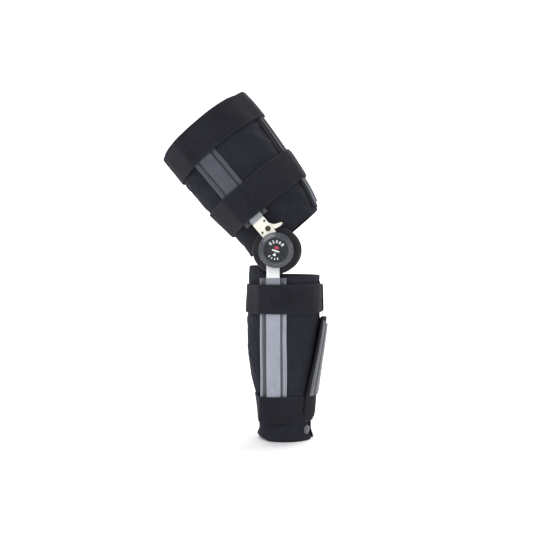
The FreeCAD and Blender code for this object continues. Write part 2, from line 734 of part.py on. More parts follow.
def front_band(segment, z0, z1, inner, outer, half):
    """Strip of a tube over the front opening."""
    band = tube(segment.stations, z0, z1, inner, outer, 8, segment.front_rise)
    corner = Vector(segment.centre((z0 + z1) / 2), segment.front_y - half, z0 - 10)
    return band.common(Part.makeBox(160, 2 * half, z1 - z0 + 20, corner))


def make_snap():
    """Round vinyl patch and cap at the foot of the shank sleeve, front outer side."""
    z, angle = -281.5, math.radians(-36.0)
    centre, depth, width = interp(CALF_STATIONS, z)
    normal_x, normal_y = math.cos(angle) / depth, math.sin(angle) / width
    size = math.hypot(normal_x, normal_y)
    normal = Vector(normal_x / size, normal_y / size, 0)
    spot = Vector(centre + depth * math.cos(angle), width * math.sin(angle), z)
    patch = Part.makeCylinder(7.0, 1.8, spot + normal * 0.9, normal)
    cap = Part.makeCylinder(3.9, 2.2, spot + normal * 2.75, normal)
    rim = [e for e in cap.Edges if e.Curve.TypeId == "Part::GeomCircle"
           and (e.CenterOfMass - spot).dot(normal) > 4.5]
    return patch, cap.makeFillet(1.0, rim)


# ================= build =================
def save_soft_goods():
    thigh_pocket = make_pocket(THIGH, THIGH_POCKET)
    # the arm's rounded end stays inside the pocket's closed end
    calf_pocket = trim(make_pocket(CALF, CALF_POCKET), make_lower_arm())
    thigh_sleeve = press_arm(THIGH, make_thigh_sleeve(), THIGH_POCKET, THIGH_BARE)
    calf_sleeve = press_arm(CALF, make_calf_sleeve(), CALF_POCKET, CALF_BARE)
    save("thigh_sleeve", THIGH.place(thigh_sleeve))
    save("thigh_popliteal_margin", THIGH.place(make_thigh_margin()))
    save("calf_sleeve", calf_sleeve)
    save("calf_popliteal_margin", make_calf_margin())

    under_strap = {}      # what each segment's straps are trimmed by
    for name, segment, pocket, sleeve in (("thigh", THIGH, thigh_pocket, thigh_sleeve),
                                          ("calf", CALF, calf_pocket, calf_sleeve)):
        medial = mirror(pocket)
        save("lat_%s_pocket" % name, segment.place(pocket))
        save("med_%s_pocket" % name, segment.place(medial))
        under_strap[segment] = (pocket, medial, sleeve)

    straps, loops = {}, {}
    for name, segment, z0, z1, front_offset, tail_stop, loop_angle in STRAPS:
        sections = strap_sections(segment, z0, z1, front_offset)
        strap = make_strap(segment, sections, z0, z1, tail_stop)
        loops[name] = make_loop(segment, sections, z0, z1, loop_angle)
        straps[name] = trim(strap, *under_strap[segment], loops[name])
        save(name + "_strap", segment.place(straps[name]))
        save(name + "_loop", segment.place(loops[name]))

    flap = front_band(THIGH, 13.0, 222.0, 0.6, 2.2, 27.0)
    flap = trim(flap, loops["thigh_lower"], loops["thigh_upper"])
    stay = front_band(THIGH, 20.0, 214.0, 2.6, 3.9, 20.0)
    stay = stay.fuse(front_band(THIGH, 24.0, 210.0, 3.3, 5.0, 10.0))
    save("thigh_front_flap", THIGH.place(flap))
    save("thigh_front_stay", THIGH.place(stay))

    flap = front_band(CALF, -258.0, -106.0, 4.6, 6.6, 24.0)
    stay = front_band(CALF, -228.0, -110.0, 6.95, 8.3, 20.0)
    stay = stay.fuse(front_band(CALF, -224.0, -114.0, 7.7, 9.4, 10.0))
    save("calf_front_flap", trim(flap, straps["calf_lower"], loops["calf_lower"]))
    save("calf_front_stay", stay)

    patch, cap = make_snap()
    save("ankle_snap_patch", trim(patch, calf_sleeve, straps["calf_lower"]))
    save("ankle_snap_cap", cap)


def save_hinges():
    for segment, builders in ((CALF, CALF_HINGE), (THIGH, THIGH_HINGE)):
        for name, build in builders.items():
            part = build()
            save("lat_" + name, segment.place(part))
            save("med_" + name, segment.place(mirror(part)))


os.makedirs("parts", exist_ok=True)
save_soft_goods()
save_hinges()
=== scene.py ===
"""Hinged knee brace with soft sleeves, straps and two side hinges.

Row frame, metres: the hinge axis runs along Y through the origin, the shank hangs down -Z,
+X is the front of the leg, -Y the outer (lateral) side and +Y the inner (medial) side.
The thigh leans back from upright, towards -X. Each half is drawn upright in millimetres
with the pivot at the origin, then carried into the row frame by Leg.to_row.
"""
import math

import bmesh
import bpy
import numpy as np
from mathutils import Matrix, Vector


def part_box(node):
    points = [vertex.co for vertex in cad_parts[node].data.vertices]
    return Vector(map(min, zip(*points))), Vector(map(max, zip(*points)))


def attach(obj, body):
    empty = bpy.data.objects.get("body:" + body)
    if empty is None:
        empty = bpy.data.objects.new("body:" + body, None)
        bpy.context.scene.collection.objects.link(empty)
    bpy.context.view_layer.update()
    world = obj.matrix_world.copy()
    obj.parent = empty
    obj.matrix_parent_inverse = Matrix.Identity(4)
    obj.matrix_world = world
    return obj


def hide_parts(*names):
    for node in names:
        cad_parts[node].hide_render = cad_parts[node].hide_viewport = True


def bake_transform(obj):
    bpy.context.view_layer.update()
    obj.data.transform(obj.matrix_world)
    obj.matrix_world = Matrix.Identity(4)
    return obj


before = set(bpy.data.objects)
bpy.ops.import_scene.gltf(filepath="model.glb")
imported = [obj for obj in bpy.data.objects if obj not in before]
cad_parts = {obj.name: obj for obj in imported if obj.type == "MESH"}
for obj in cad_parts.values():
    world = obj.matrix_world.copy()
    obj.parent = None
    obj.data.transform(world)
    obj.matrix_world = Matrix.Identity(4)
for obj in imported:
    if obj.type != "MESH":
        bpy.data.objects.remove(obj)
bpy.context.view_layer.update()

# ------------------------------------------------------------------ driving sizes
MM = 0.001
FLEXION = math.radians(40.0)
BAR_THICK = 2.5              # hinge arm, across the leg
THIGH_ARM_INNER = 69.2       # from the leg's mid plane to the inner face of the arm at the hinge
CALF_ARM_INNER = 66.1
THIGH_ARM_MID = THIGH_ARM_INNER + BAR_THICK / 2
CALF_ARM_MID = CALF_ARM_INNER + BAR_THICK / 2
SLIT_HALF = 8.0              # half width of the front opening
WEB_THICK = 2.25
SIDES = {"lat": -1, "med": 1}    # direction of each side along Y


# ------------------------------------------------------------------ small mathematics
def hermite(k, start, start_slope, end, end_slope):
    """Cubic from start to end at k in 0..1, slopes per unit of k."""
    return ((2 * k**3 - 3 * k**2 + 1) * start + (k**3 - 2 * k**2 + k) * start_slope
            + (-2 * k**3 + 3 * k**2) * end + (k**3 - k**2) * end_slope)


def smoothstep(x):
    x = np.clip(x, 0, 1)
    return x * x * (3 - 2 * x)


def unit(v):
    return v / np.maximum(np.linalg.norm(v, axis=-1, keepdims=True), 1e-12)


def waviness(x, y, seed, waves):
    """Smooth repeatable variation about -1..1 over two mm coordinates.

    waves: (cycles per mm, weight).
    """
    random = np.random.default_rng(seed)
    total = 0
    weights = 0
    for frequency, weight in waves:
        for _ in range(3):
            heading = random.uniform(0, 2 * math.pi)
            along = x * math.cos(heading) + y * math.sin(heading)
            total = total + weight * np.sin(
                2 * math.pi * frequency * along * random.uniform(0.7, 1.3)
                + random.uniform(0, 6.28))
            weights += weight
    return total / weights * 1.6


# ------------------------------------------------------------------ the two halves
class Leg:
    """One half of the brace, drawn upright in mm with the hinge pivot at the origin."""

    def __init__(self, body, tag, stations, front_y, arm_x, flexion):
        self.body = body
        self.tag = tag
        self.stations = sorted(stations)
        self.front_y = front_y
        self.arm_x = arm_x
        self.flexion = flexion

    def section(self, z):
        """Centre x, x radius and y radius of the sleeve at height z."""
        table = self.stations
        if z <= table[0][0]:
            return table[0][1:]
        if z >= table[-1][0]:
            return table[-1][1:]
        i = next(i for i in range(len(table) - 1) if z <= table[i + 1][0])
        before, low, high = table[max(i - 1, 0)], table[i], table[i + 1]
        after = table[min(i + 2, len(table) - 1)]
        span = high[0] - low[0]
        k = (z - low[0]) / span
        return tuple(
            hermite(k, low[a], (high[a] - before[a]) / (high[0] - before[0]) * span,
                    high[a], (after[a] - low[a]) / (after[0] - low[0]) * span)
            for a in (1, 2, 3))

    def sleeve_out(self, z):
        """Distance of the sleeve from the mid plane beside the arm."""
        centre, radius_x, radius_y = self.section(z)
        return radius_y * math.sqrt(max(0.0, 1 - ((self.arm_x - centre) / radius_x) ** 2))

    def set_arm_path(self, points):
        """points: (height, distance of the arm's middle from the mid plane)."""
        heights, outs = np.array(sorted(points), float).T
        self.arm_path = heights, outs, np.gradient(outs, heights)

    def arm_out(self, z):
        """Distance of the arm's middle from the mid plane, smooth through the path."""
        heights, outs, slopes = self.arm_path
        z = min(max(z, heights[0]), heights[-1])
        i = min(max(int(np.searchsorted(heights, z)) - 1, 0), len(heights) - 2)
        step = heights[i + 1] - heights[i]
        return float(hermite((z - heights[i]) / step, outs[i], step * slopes[i],
                             outs[i + 1], step * slopes[i + 1]))

    def to_row(self, points):
        """Points drawn upright, mm, to the row frame, metres."""
        points = np.asarray(points, float)
        if self.flexion:
            c, s = math.cos(self.flexion), math.sin(self.flexion)
            x, y, z = points[..., 0], points[..., 1], points[..., 2]
            points = np.stack([x * c - z * s, y, x * s + z * c], -1)
        return points * MM

    def on_arm(self, side, across, out, z):
        """Row-frame points set across and outward from the arm's middle at height z."""
        point = np.broadcast_arrays(self.arm_x + across, side * (self.arm_out(z) + out), z)
        return self.to_row(np.stack(point, -1))


# stations: height, centre x, x radius, y radius; the front openings sit a little outward
THIGH = Leg("thigh", "thigh", front_y=-4.0, arm_x=7.7, flexion=FLEXION, stations=[
    (8, 24, 66, 57), (38, 30, 68.5, 59.5), (75, 31.5, 73, 66), (115, 31.5, 77.5, 71),
    (160, 33, 80, 75), (200, 34, 80.5, 77.5), (229, 33.5, 79.5, 78)])
CALF = Leg("shank", "calf", front_y=-9.0, arm_x=-5.0, flexion=0.0, stations=[
    (-16, 11, 57, 60), (-45, 9.8, 56.5, 60), (-100, 9, 58, 59), (-150, 7.5, 55.5, 55.5),
    (-200, 7.8, 50, 49.5), (-240, 11, 43, 44.5), (-280, 11, 41.5, 41.5), (-297, 10, 46, 44)])

THIGH.set_arm_path(
    [(z, THIGH_ARM_MID) for z in (0, 20, 40, 56)]
    + [(z, max(THIGH.sleeve_out(z) + 3.4, THIGH_ARM_MID)) for z in (95, 125, 155, 185, 208)])
CALF.set_arm_path(
    [(z, CALF_ARM_MID) for z in (0, -15, -30)]
    + [(-42, CALF_ARM_MID - 0.1), (-56, 64.6)]
    + [(z, CALF.sleeve_out(z) + 3.6) for z in (-85, -110, -140, -170, -200, -228, -246)])


# ------------------------------------------------------------------ mesh builders
def new_object(name, verts, faces, uvs=None, material=None, smooth=True):
    mesh = bpy.data.meshes.new(name)
    mesh.from_pydata([tuple(v) for v in verts], [], [tuple(int(i) for i in f) for f in faces])
    if uvs is not None:
        layer = mesh.uv_layers.new(name="mm")
        corners = np.zeros(len(mesh.loops), np.int32)
        mesh.loops.foreach_get("vertex_index", corners)
        layer.data.foreach_set("uv", np.asarray(uvs, np.float32)[corners].ravel())
    mesh.validate()
    mesh.polygons.foreach_set("use_smooth", [smooth] * len(mesh.polygons))
    mesh.update()
    piece = bpy.data.objects.new(name, mesh)
    bpy.context.scene.collection.objects.link(piece)
    if material:
        mesh.materials.append(material)
    return piece


def register(piece, slot, body, *replaced):
    if replaced:
        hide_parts(*replaced)
    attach(piece, body)


def subdivide(piece):
    modifier = piece.modifiers.new("sub", "SUBSURF")
    modifier.levels = modifier.render_levels = 1
    return modifier


def face_outward(mesh, merge=None):
    """Point all normals outward, first merging points closer than merge (metres)."""
    work = bmesh.new()
    work.from_mesh(mesh)
    if merge:
        bmesh.ops.remove_doubles(work, verts=work.verts, dist=merge)
    bmesh.ops.recalc_face_normals(work, faces=work.faces)
    work.to_mesh(mesh)
    work.free()


def grid_faces(rows, cols, wrap=False):
    faces = []
    for i in range(rows - 1):
        for j in range(cols if wrap else cols - 1):
            right = (j + 1) % cols
            faces.append((i * cols + j, i * cols + right,
                          (i + 1) * cols + right, (i + 1) * cols + j))
    return faces


def grid_normals(grid, wrap=False):
    """Normals of a grid of points [row, column], pointing away from its middle."""
    if wrap:
        across = np.roll(grid, -1, 1) - np.roll(grid, 1, 1)
    else:
        across = np.gradient(grid, axis=1)
    return unit(np.cross(across, np.gradient(grid, axis=0)))


def shell(name, outer, thick, material, uv, wrap=False):
    """Closed shell under the grid outer[row, col, 3], metres, with rounded rims."""
    rows, cols = outer.shape[:2]
    inner = outer - grid_normals(outer, wrap) * thick
    verts = [outer.reshape(-1, 3), inner.reshape(-1, 3)]
    uvs = [uv.reshape(-1, 2), uv.reshape(-1, 2)]
    base = rows * cols
    faces = []
    for a, b, c, d in grid_faces(rows, cols, wrap):
        faces.append((a, b, c, d))
        faces.append((base + d, base + c, base + b, base + a))
    low = [(0, j) for j in range(cols)]
    if wrap:
        rims = [low, [(rows - 1, j) for j in range(cols)][::-1]]
    else:
        rims = [low + [(i, cols - 1) for i in range(1, rows)]
                + [(rows - 1, j) for j in range(cols - 2, -1, -1)]
                + [(i, 0) for i in range(rows - 2, 0, -1)]]
    count = 2 * base
    for rim in rims:
        ridge = []
        for i, j in rim:
            outward = np.zeros(3)
            if i == 0:
                outward += unit(outer[0, j] - outer[1, j])
            if i == rows - 1:
                outward += unit(outer[-1, j] - outer[-2, j])
            if not wrap and j == 0:
                outward += unit(outer[i, 0] - outer[i, 1])
            if not wrap and j == cols - 1:
                outward += unit(outer[i, -1] - outer[i, -2])
            ridge.append((outer[i, j] + inner[i, j]) / 2 + unit(outward) * thick * 0.42)
        verts.append(np.array(ridge))
        uvs.append(np.array([uv[i, j] for i, j in rim]))
        for k in range(len(rim)):
            after = (k + 1) % len(rim)
            here, there = (i * cols + j for i, j in (rim[k], rim[after]))
            top, top_after = count + k, count + after
            faces.append((there, here, top, top_after))
            faces.append((top_after, top, base + here, base + there))
        count += len(rim)
    piece = new_object(name, np.concatenate(verts), faces, np.concatenate(uvs), material)
    subdivide(piece).uv_smooth = "NONE"
    return piece


def mirrored(half):
    """Whole section from its half at negative u, ending on u = 0."""
    return half + [(-u, w) for u, w in half[-2::-1]]


def extrude_section(name, top, bottom, place, rows, material, smooth=False, v_scale=1.0):
    """Closed bar with a symmetric section, set at each row by place(row, points).

    top, bottom: equally many (u, w) points of the half section at negative u, mm.
    """
    top, bottom = np.array(mirrored(top), float), np.array(mirrored(bottom), float)
    n = len(top)
    # true lengths across the section for the texture
    steps = np.linalg.norm(np.diff(top, axis=0), axis=1)
    across = np.concatenate([[0], np.cumsum(steps)])
    across -= across[-1] / 2
    verts, uvs, faces = [], [], []
    for row in rows:
        for points in (top, bottom):
            verts += list(place(row, points))
            uvs += [(u, row * v_scale) for u in across]
    for k in range(len(rows) - 1):
        a, b = k * 2 * n, (k + 1) * 2 * n
        for i in range(n - 1):
            faces.append((a + i, a + i + 1, b + i + 1, b + i))
            faces.append((a + n + i + 1, a + n + i, b + n + i, b + n + i + 1))
        faces.append((a + n, a, b, b + n))
        faces.append((a + n - 1, a + 2 * n - 1, b + 2 * n - 1, b + n - 1))
    for a, step in ((0, 1), ((len(rows) - 1) * 2 * n, -1)):
        for i in range(n - 1):
            faces.append((a + i + 1, a + i, a + n + i, a + n + i + 1)[::step])
    piece = new_object(name, verts, faces, uvs, material)
    face_outward(piece.data)
    if smooth:
        subdivide(piece)
    return piece


def revolve(name, profile, segments, material, placing):
    """Solid of revolution from (radius, height) points in mm, placed by a 4x4 matrix."""
    n = len(profile)
    verts, faces = [], []
    for k in range(segments):
        a = 2 * math.pi * k / segments
        for r, h in profile:
            point = Vector((r * math.cos(a) * MM, r * math.sin(a) * MM, h * MM))
            verts.append(placing @ point)
        for i in range(n - 1):
            here, there = k * n + i, ((k + 1) % segments) * n + i
            faces.append((here, there, there + 1, here + 1))
    piece = new_object(name, verts, faces, None, material)
    face_outward(piece.data, merge=1e-6)
    return piece


# stitch outline: (place along, share of the radius)
STITCH_PROFILE = [(-1.0, 0.25), (-0.72, 0.85), (0.0, 1.0), (0.72, 0.85), (1.0, 0.25)]
STITCH_SIDES = 6


class Seam:
    """Thread stitches, small rounded lozenges, gathered line by line into one mesh."""

    def __init__(self):
        self.parts = []

    def add(self, centres, along, normals):
        """Stitches at given places in metres, with unit directions."""
        self.parts.append((centres, along, normals))

    def run(self, points, normals, pitch):
        """Evenly pitched stitches along a polyline, metres."""
        points, normals = np.asarray(points, float), np.asarray(normals)
        steps = np.linalg.norm(np.diff(points, axis=0), axis=1)
        length = np.concatenate([[0], np.cumsum(steps)])
        n = max(2, int(length[-1] / pitch))
        s = (np.arange(n) + 0.5) * length[-1] / n

        def sample(at, values):
            return np.stack([np.interp(at, length, values[:, k]) for k in range(3)], 1)

        along = unit(sample(np.minimum(s + 0.0006, length[-1]), points)
                     - sample(np.maximum(s - 0.0006, 0), points))
        self.add(sample(s, points), along, square_to(along, unit(sample(s, normals))))

    def build(self, name, material, length, radius, lift):
        """Lengths in mm; lift is how far the thread stands off the surface."""
        centres, along, normals = (np.concatenate(part) for part in zip(*self.parts))
        verts, faces = [], []
        n = STITCH_SIDES
        for c, a, up, side in zip(centres, along, normals, np.cross(normals, along)):
            b = len(verts)
            for x, r in STITCH_PROFILE:
                for k in range(n):
                    q = 2 * math.pi * k / n
                    ring = side * math.cos(q) + up * (math.sin(q) * 0.8)
                    verts.append(c + a * (x * length / 2000) + ring * (r * radius * MM)
                                 + up * (lift - 0.16 * x * x) * MM)
            last = b + (len(STITCH_PROFILE) - 1) * n
            for i in range(b, last, n):
                for k in range(n):
                    after = (k + 1) % n
                    faces.append((i + k, i + after, i + n + after, i + n + k))
            faces.append(tuple(b + k for k in range(n))[::-1])
            faces.append(tuple(last + k for k in range(n)))
        return new_object(name, verts, faces, None, material)


def square_to(along, normals):
    """Normals made square to the along directions."""
    return unit(normals - along * (normals * along).sum(1, keepdims=True))


# ------------------------------------------------------------------ material nodes
def shade(color, factor, lift=0.0):
    return tuple(min(1, c * factor + lift) for c in color)


class NodeMaterial:
    """Builds one node material. flat: textures follow the mm UV map, else the object."""

    def __init__(self, name, flat):
        self.material = bpy.data.materials.new(name)
        self.material.use_nodes = True
        self.tree = self.material.node_tree
        self.flat = flat

    def put(self, socket, value):
        """Set a socket to a number, colour or vector, or link another socket to it."""
        if isinstance(value, (int, float)):
            socket.default_value = value
        elif isinstance(value, tuple):
            socket.default_value = (*value, 1.0) if socket.type == "RGBA" else value
        else:
            self.tree.links.new(value, socket)

    def node(self, kind, inputs, **attributes):
        node = self.tree.nodes.new("ShaderNode" + kind)
        for key, value in attributes.items():
            setattr(node, key, value)
        for key, value in inputs.items():
            self.put(node.inputs[key], value)
        return node

    def coords(self, scale=(1.0, 1.0, 1.0)):
        """Texture position in millimetres."""
        if self.flat:
            source = self.node("UVMap", {}, uv_map="mm").outputs[0]
            per_unit = 1.0
        else:
            source = self.node("TexCoord", {}).outputs["Object"]
            per_unit = 1000.0
        scale = tuple(per_unit * s for s in scale)
        return self.node("Mapping", {"Vector": source, "Scale": scale}).outputs[0]

    def noise(self, where, scale, detail=3.0, rough=0.55, distortion=0.0):
        return self.node("TexNoise", {
            "Vector": where, "Scale": scale, "Detail": detail, "Roughness": rough,
            "Distortion": distortion}).outputs["Fac"]

    def ramp(self, value, span, to=(0.0, 1.0)):
        """Map the span of a value onto the range to."""
        return self.node("MapRange", {
            "Value": value, "From Min": span[0], "From Max": span[1],
            "To Min": to[0], "To Max": to[1]}).outputs["Result"]

    def math(self, operation, *values):
        return self.node("Math", dict(enumerate(values)), operation=operation).outputs[0]

    def mul(self, a, b):
        return self.math("MULTIPLY", a, b)

    def average(self, a, b, share):
        """Weighted mean, share being the weight of a."""
        return self.math("ADD", self.mul(a, share), self.mul(b, 1 - share))

    def mix(self, factor, a, b, blend="MIX"):
        # inputs 6 and 7 and output 2 are the node's colour sockets
        return self.node("Mix", {0: factor, 6: a, 7: b},
                         data_type="RGBA", blend_type=blend).outputs[2]

    def bump(self, layers, normal=None):
        """layers: (height socket, depth in mm, strength)."""
        for height, depth, strength in layers:
            inputs = {"Distance": depth * MM, "Strength": strength, "Height": height}
            if normal is not None:
                inputs["Normal"] = normal
            normal = self.node("Bump", inputs).outputs[0]
        return normal

    def surface(self, inputs):
        """Set the inputs of the surface shader and return the material."""
        shader = self.tree.nodes["Principled BSDF"]
        for key, value in inputs.items():
            self.put(shader.inputs[key], value)
        return self.material


def fabric(name, base, flat=True, nap=1.0, mottle=0.2, sheen=0.05, lint=0.10, ribs=None,
           edge=None, tint=(0.5, 0.55, 0.7)):
    """Brushed knit or napped webbing: mottling, fibre nap and lint.

    ribs: rib frequency; edge: half width of webbing with rubbed edges, in UV units.
    """
    mat = NodeMaterial(name, flat)
    where = mat.coords()
    big = mat.noise(where, scale=0.022, detail=3, rough=0.6, distortion=0.4)
    middle = mat.noise(where, scale=0.16, detail=4, rough=0.6)
    fibre = mat.noise(mat.coords((1.0, 0.55, 1.0)), scale=1.15, detail=5, rough=0.75,
                      distortion=1.2)
    fine = mat.noise(where, scale=3.2, detail=2, rough=0.7)
    dark = shade(base, 1 - mottle)
    light = shade(base, 1 + 1.5 * mottle, lift=0.003)
    color = mat.mix(mat.ramp(mat.average(big, middle, share=0.55), (0.34, 0.66)), dark, light)
    color = mat.mix(mat.ramp(fibre, (0.35, 0.7), to=(0.0, 0.5)), color,
                    shade(base, 1.55, lift=0.004))
    spots = mat.node("TexVoronoi", {"Scale": 0.19, "Vector": mat.coords((1.0, 0.7, 1.0))},
                     feature="F1")
    speck = mat.mul(mat.ramp(spots.outputs["Distance"], (0.05, 0.085), to=(1.0, 0.0)),
                    mat.ramp(middle, (0.5, 0.62)))
    color = mat.mix(mat.mul(speck, lint), color, (0.35, 0.36, 0.38))
    layers = [(middle, 0.5, 0.25), (fibre, 0.32 * nap, 0.85), (fine, 0.12 * nap, 0.6)]
    if ribs:
        wave = mat.node("TexWave", {
            "Vector": where, "Scale": ribs, "Distortion": 0.8, "Detail": 2.0,
            "Detail Scale": 0.6}, wave_type="BANDS", bands_direction="X", wave_profile="SIN")
        rib = wave.outputs["Fac"]
        layers.insert(1, (rib, 0.22, 0.55))
        color = mat.mix(mat.mul(rib, 0.25), color, dark, "MULTIPLY")
    if edge:
        # selvage: the last millimetres of the width are denser and slightly rubbed
        split = mat.node("SeparateXYZ", {0: where})
        off_middle = mat.math("ABSOLUTE", split.outputs[1])
        lightened_edge = mat.mul(mat.ramp(off_middle, (edge - 2.6, edge - 0.4)),
                         mat.ramp(middle, (0.3, 0.7), to=(0.45, 1.0)))
        color = mat.mix(mat.mul(lightened_edge, 0.5), color, shade(base, 1.9, lift=0.006))
        layers.append((mat.ramp(off_middle, (edge - 3.4, edge - 2.4), to=(1.0, 0.0)), 0.25, 0.5))
    return mat.surface({
        "Base Color": color, "Roughness": mat.ramp(fibre, (0.3, 0.7), to=(0.83, 1.0)),
        "Sheen Weight": sheen, "Sheen Roughness": 0.45, "Sheen Tint": tint,
        "Specular IOR Level": 0.12, "Normal": mat.bump(layers)})


def vinyl(name, base, rough, flat=True, half_width=None, groove_shades=(), shade_and_tone_zone=None, wear=0.35,
          gloss=1.0):
    """Grained vinyl: pebble grain, soft creases, darker sewn grooves, scuffed edges.

    Painted shade in the sewn grooves: each (distance from the middle, half width, darkness); a
    negative distance marks that side only, a positive one both sides.
    Painted shade and tone along a length: (fade span along the strip, strength before and after
    it, middle colour, flange colour) for a length coloured differently: painted shadow from the
    hinge at the pockets' hinge ends, the thigh pocket's end also painted lighter in the middle as
    lit, and a plain darker upper length on the thigh's front strip.
    flange colour) for a length that is coloured differently.
    """
    mat = NodeMaterial(name, flat)
    where = mat.coords()
    big = mat.noise(where, scale=0.03, detail=3, rough=0.6, distortion=0.6)
    middle = mat.noise(mat.coords((1.0, 0.35, 1.0)), scale=0.22, detail=4, rough=0.6,
                       distortion=0.8)
    cells = mat.node("TexVoronoi", {"Vector": where}, feature="SMOOTH_F1")
    mat.put(cells.inputs["Scale"], 1.25)
    mat.put(cells.inputs["Smoothness"], 0.35)
    pebble = cells.outputs["Distance"]
    fine = mat.noise(where, scale=2.6, detail=3, rough=0.7)
    color = mat.mix(mat.ramp(mat.average(big, middle, share=0.6), (0.33, 0.67)),
                    shade(base, 0.80), shade(base, 1.18))
    color = mat.mix(mat.ramp(pebble, (0.1, 0.55), to=(0.0, 0.28)), color, shade(base, 0.62))
    if half_width:
        split = mat.node("SeparateXYZ", {0: where})
        off_middle = mat.math("ABSOLUTE", split.outputs[0])
        # painted shade near the hinge on the pockets, with the thigh pocket's end painted lighter
        # in the middle as lit; on the thigh's front strip a plain darker length
        if shade_and_tone_zone:
            span, strength, middle_color, flange_color = shade_and_tone_zone
            color = mat.mix(mat.ramp(split.outputs[1], span, to=strength), color,
                            mat.mix(mat.ramp(off_middle, (10.5, 12.5)),
                                    middle_color, flange_color))
        # painted shade: the grooves beside the raised channel are darkened where the channel
        # walls shade them
        for place, half, darkness in groove_shades:
            source = split.outputs[0] if place < 0 else off_middle
            away = mat.math("ABSOLUTE", mat.math("SUBTRACT", source, place))
            color = mat.mix(mat.ramp(away, (half * 0.7, half), to=(darkness, 0.0)), color,
                            shade(base, 0.16))
        scuffed = mat.mul(mat.ramp(off_middle, (half_width - 1.8, half_width - 0.2)),
                          mat.ramp(fine, (0.35, 0.65)))
        color = mat.mix(mat.mul(scuffed, wear), color, shade(base, 1.5, lift=0.05))
    layers = [(big, 1.6, 0.22), (middle, 0.5, 0.35), (pebble, 0.10, 0.8), (fine, 0.05, 0.7)]
    return mat.surface({
        "Base Color": color,
        "Roughness": mat.ramp(middle, (0.3, 0.7), to=(rough - 0.08, rough + 0.1)),
        "Specular IOR Level": 0.5 * gloss, "Coat Weight": 0.12 * gloss * gloss,
        "Coat Roughness": 0.35, "Sheen Weight": 0.06 * gloss, "Normal": mat.bump(layers)})


def hard(name, base, rough, metal=0.0, mottle=0.12, micro=0.5, scratch=0.25, brushed=None,
         coat=0.0, bevel=0.35, edge_light=0.25, spec=0.5, tone=None, blotch=0.06):
    """Moulded plastic, enamel or metal: blotches, fine scratches, rounded edges lightened as wear
    and as a painted highlight.

    brushed: axis number of the brush marks; bevel: edge radius in mm;
    tone: base of the lighter blotches; blotch: their frequency.
    """
    mat = NodeMaterial(name, flat=False)
    where = mat.coords()
    big = mat.noise(where, scale=blotch, detail=4, rough=0.62, distortion=0.5)
    fine = mat.noise(where, scale=2.4, detail=3, rough=0.7)
    color = mat.mix(mat.ramp(big, (0.33, 0.67)), shade(base, 1 - mottle),
                    shade(tone or base, 1 + mottle, lift=0.002))
    layers = [(fine, 0.03, micro)]
    roughness = mat.ramp(big, (0.3, 0.7), to=(rough - 0.07, rough + 0.07))
    if brushed is not None:
        stretch = tuple(0.03 if axis == brushed else 1.0 for axis in range(3))
        marks = mat.noise(mat.coords(stretch), scale=5.5, detail=4, rough=0.7)
        layers.append((marks, 0.02, 0.6))
        roughness = mat.math("ADD", roughness, mat.ramp(marks, (0.3, 0.7), to=(-0.06, 0.1)))
        color = mat.mix(mat.ramp(marks, (0.3, 0.7), to=(0.0, 0.16)), color, shade(base, 0.6))
    if scratch:
        # cell borders, bent by noise, drawn as hairlines
        drift = mat.node("TexNoise", {"Vector": where, "Scale": 0.25}).outputs["Color"]
        push = mat.node("VectorMath", {0: drift}, operation="SCALE")
        mat.put(push.inputs["Scale"], 9.0)
        bent = mat.node("VectorMath", {0: where, 1: push.outputs[0]}, operation="ADD")
        cells = mat.node("TexVoronoi", {"Scale": 0.10, "Vector": bent.outputs[0]},
                         feature="DISTANCE_TO_EDGE")
        line = mat.mul(mat.ramp(cells.outputs["Distance"], (0.004, 0.016), to=(1.0, 0.0)),
                       mat.ramp(big, (0.5, 0.6)))
        color = mat.mix(mat.mul(line, scratch), color, shade(base, 1.4, lift=0.12))
        roughness = mat.math("ADD", roughness, mat.mul(line, 0.15))
    # edges are painted lighter where the rounded normal leaves the true one: partly rubbed wear,
    # partly a painted highlight along the bevels
    rounded = mat.node("Bevel", {"Radius": bevel * MM}, samples=4).outputs[0]
    true_normal = mat.node("NewGeometry", {}).outputs["Normal"]
    agreement = mat.node("VectorMath", {0: rounded, 1: true_normal}, operation="DOT_PRODUCT")
    lightened_edge = mat.mul(mat.ramp(agreement.outputs["Value"], (0.80, 0.97), to=(1.0, 0.0)),
                     mat.ramp(fine, (0.35, 0.6)))
    color = mat.mix(mat.mul(lightened_edge, edge_light), color, shade(base, 1.7, lift=0.10))
    return mat.surface({
        "Base Color": color, "Roughness": roughness, "Metallic": metal,
        "Specular IOR Level": spec, "Coat Weight": coat, "Coat Roughness": 0.15,
        "Normal": mat.bump(layers, rounded)})


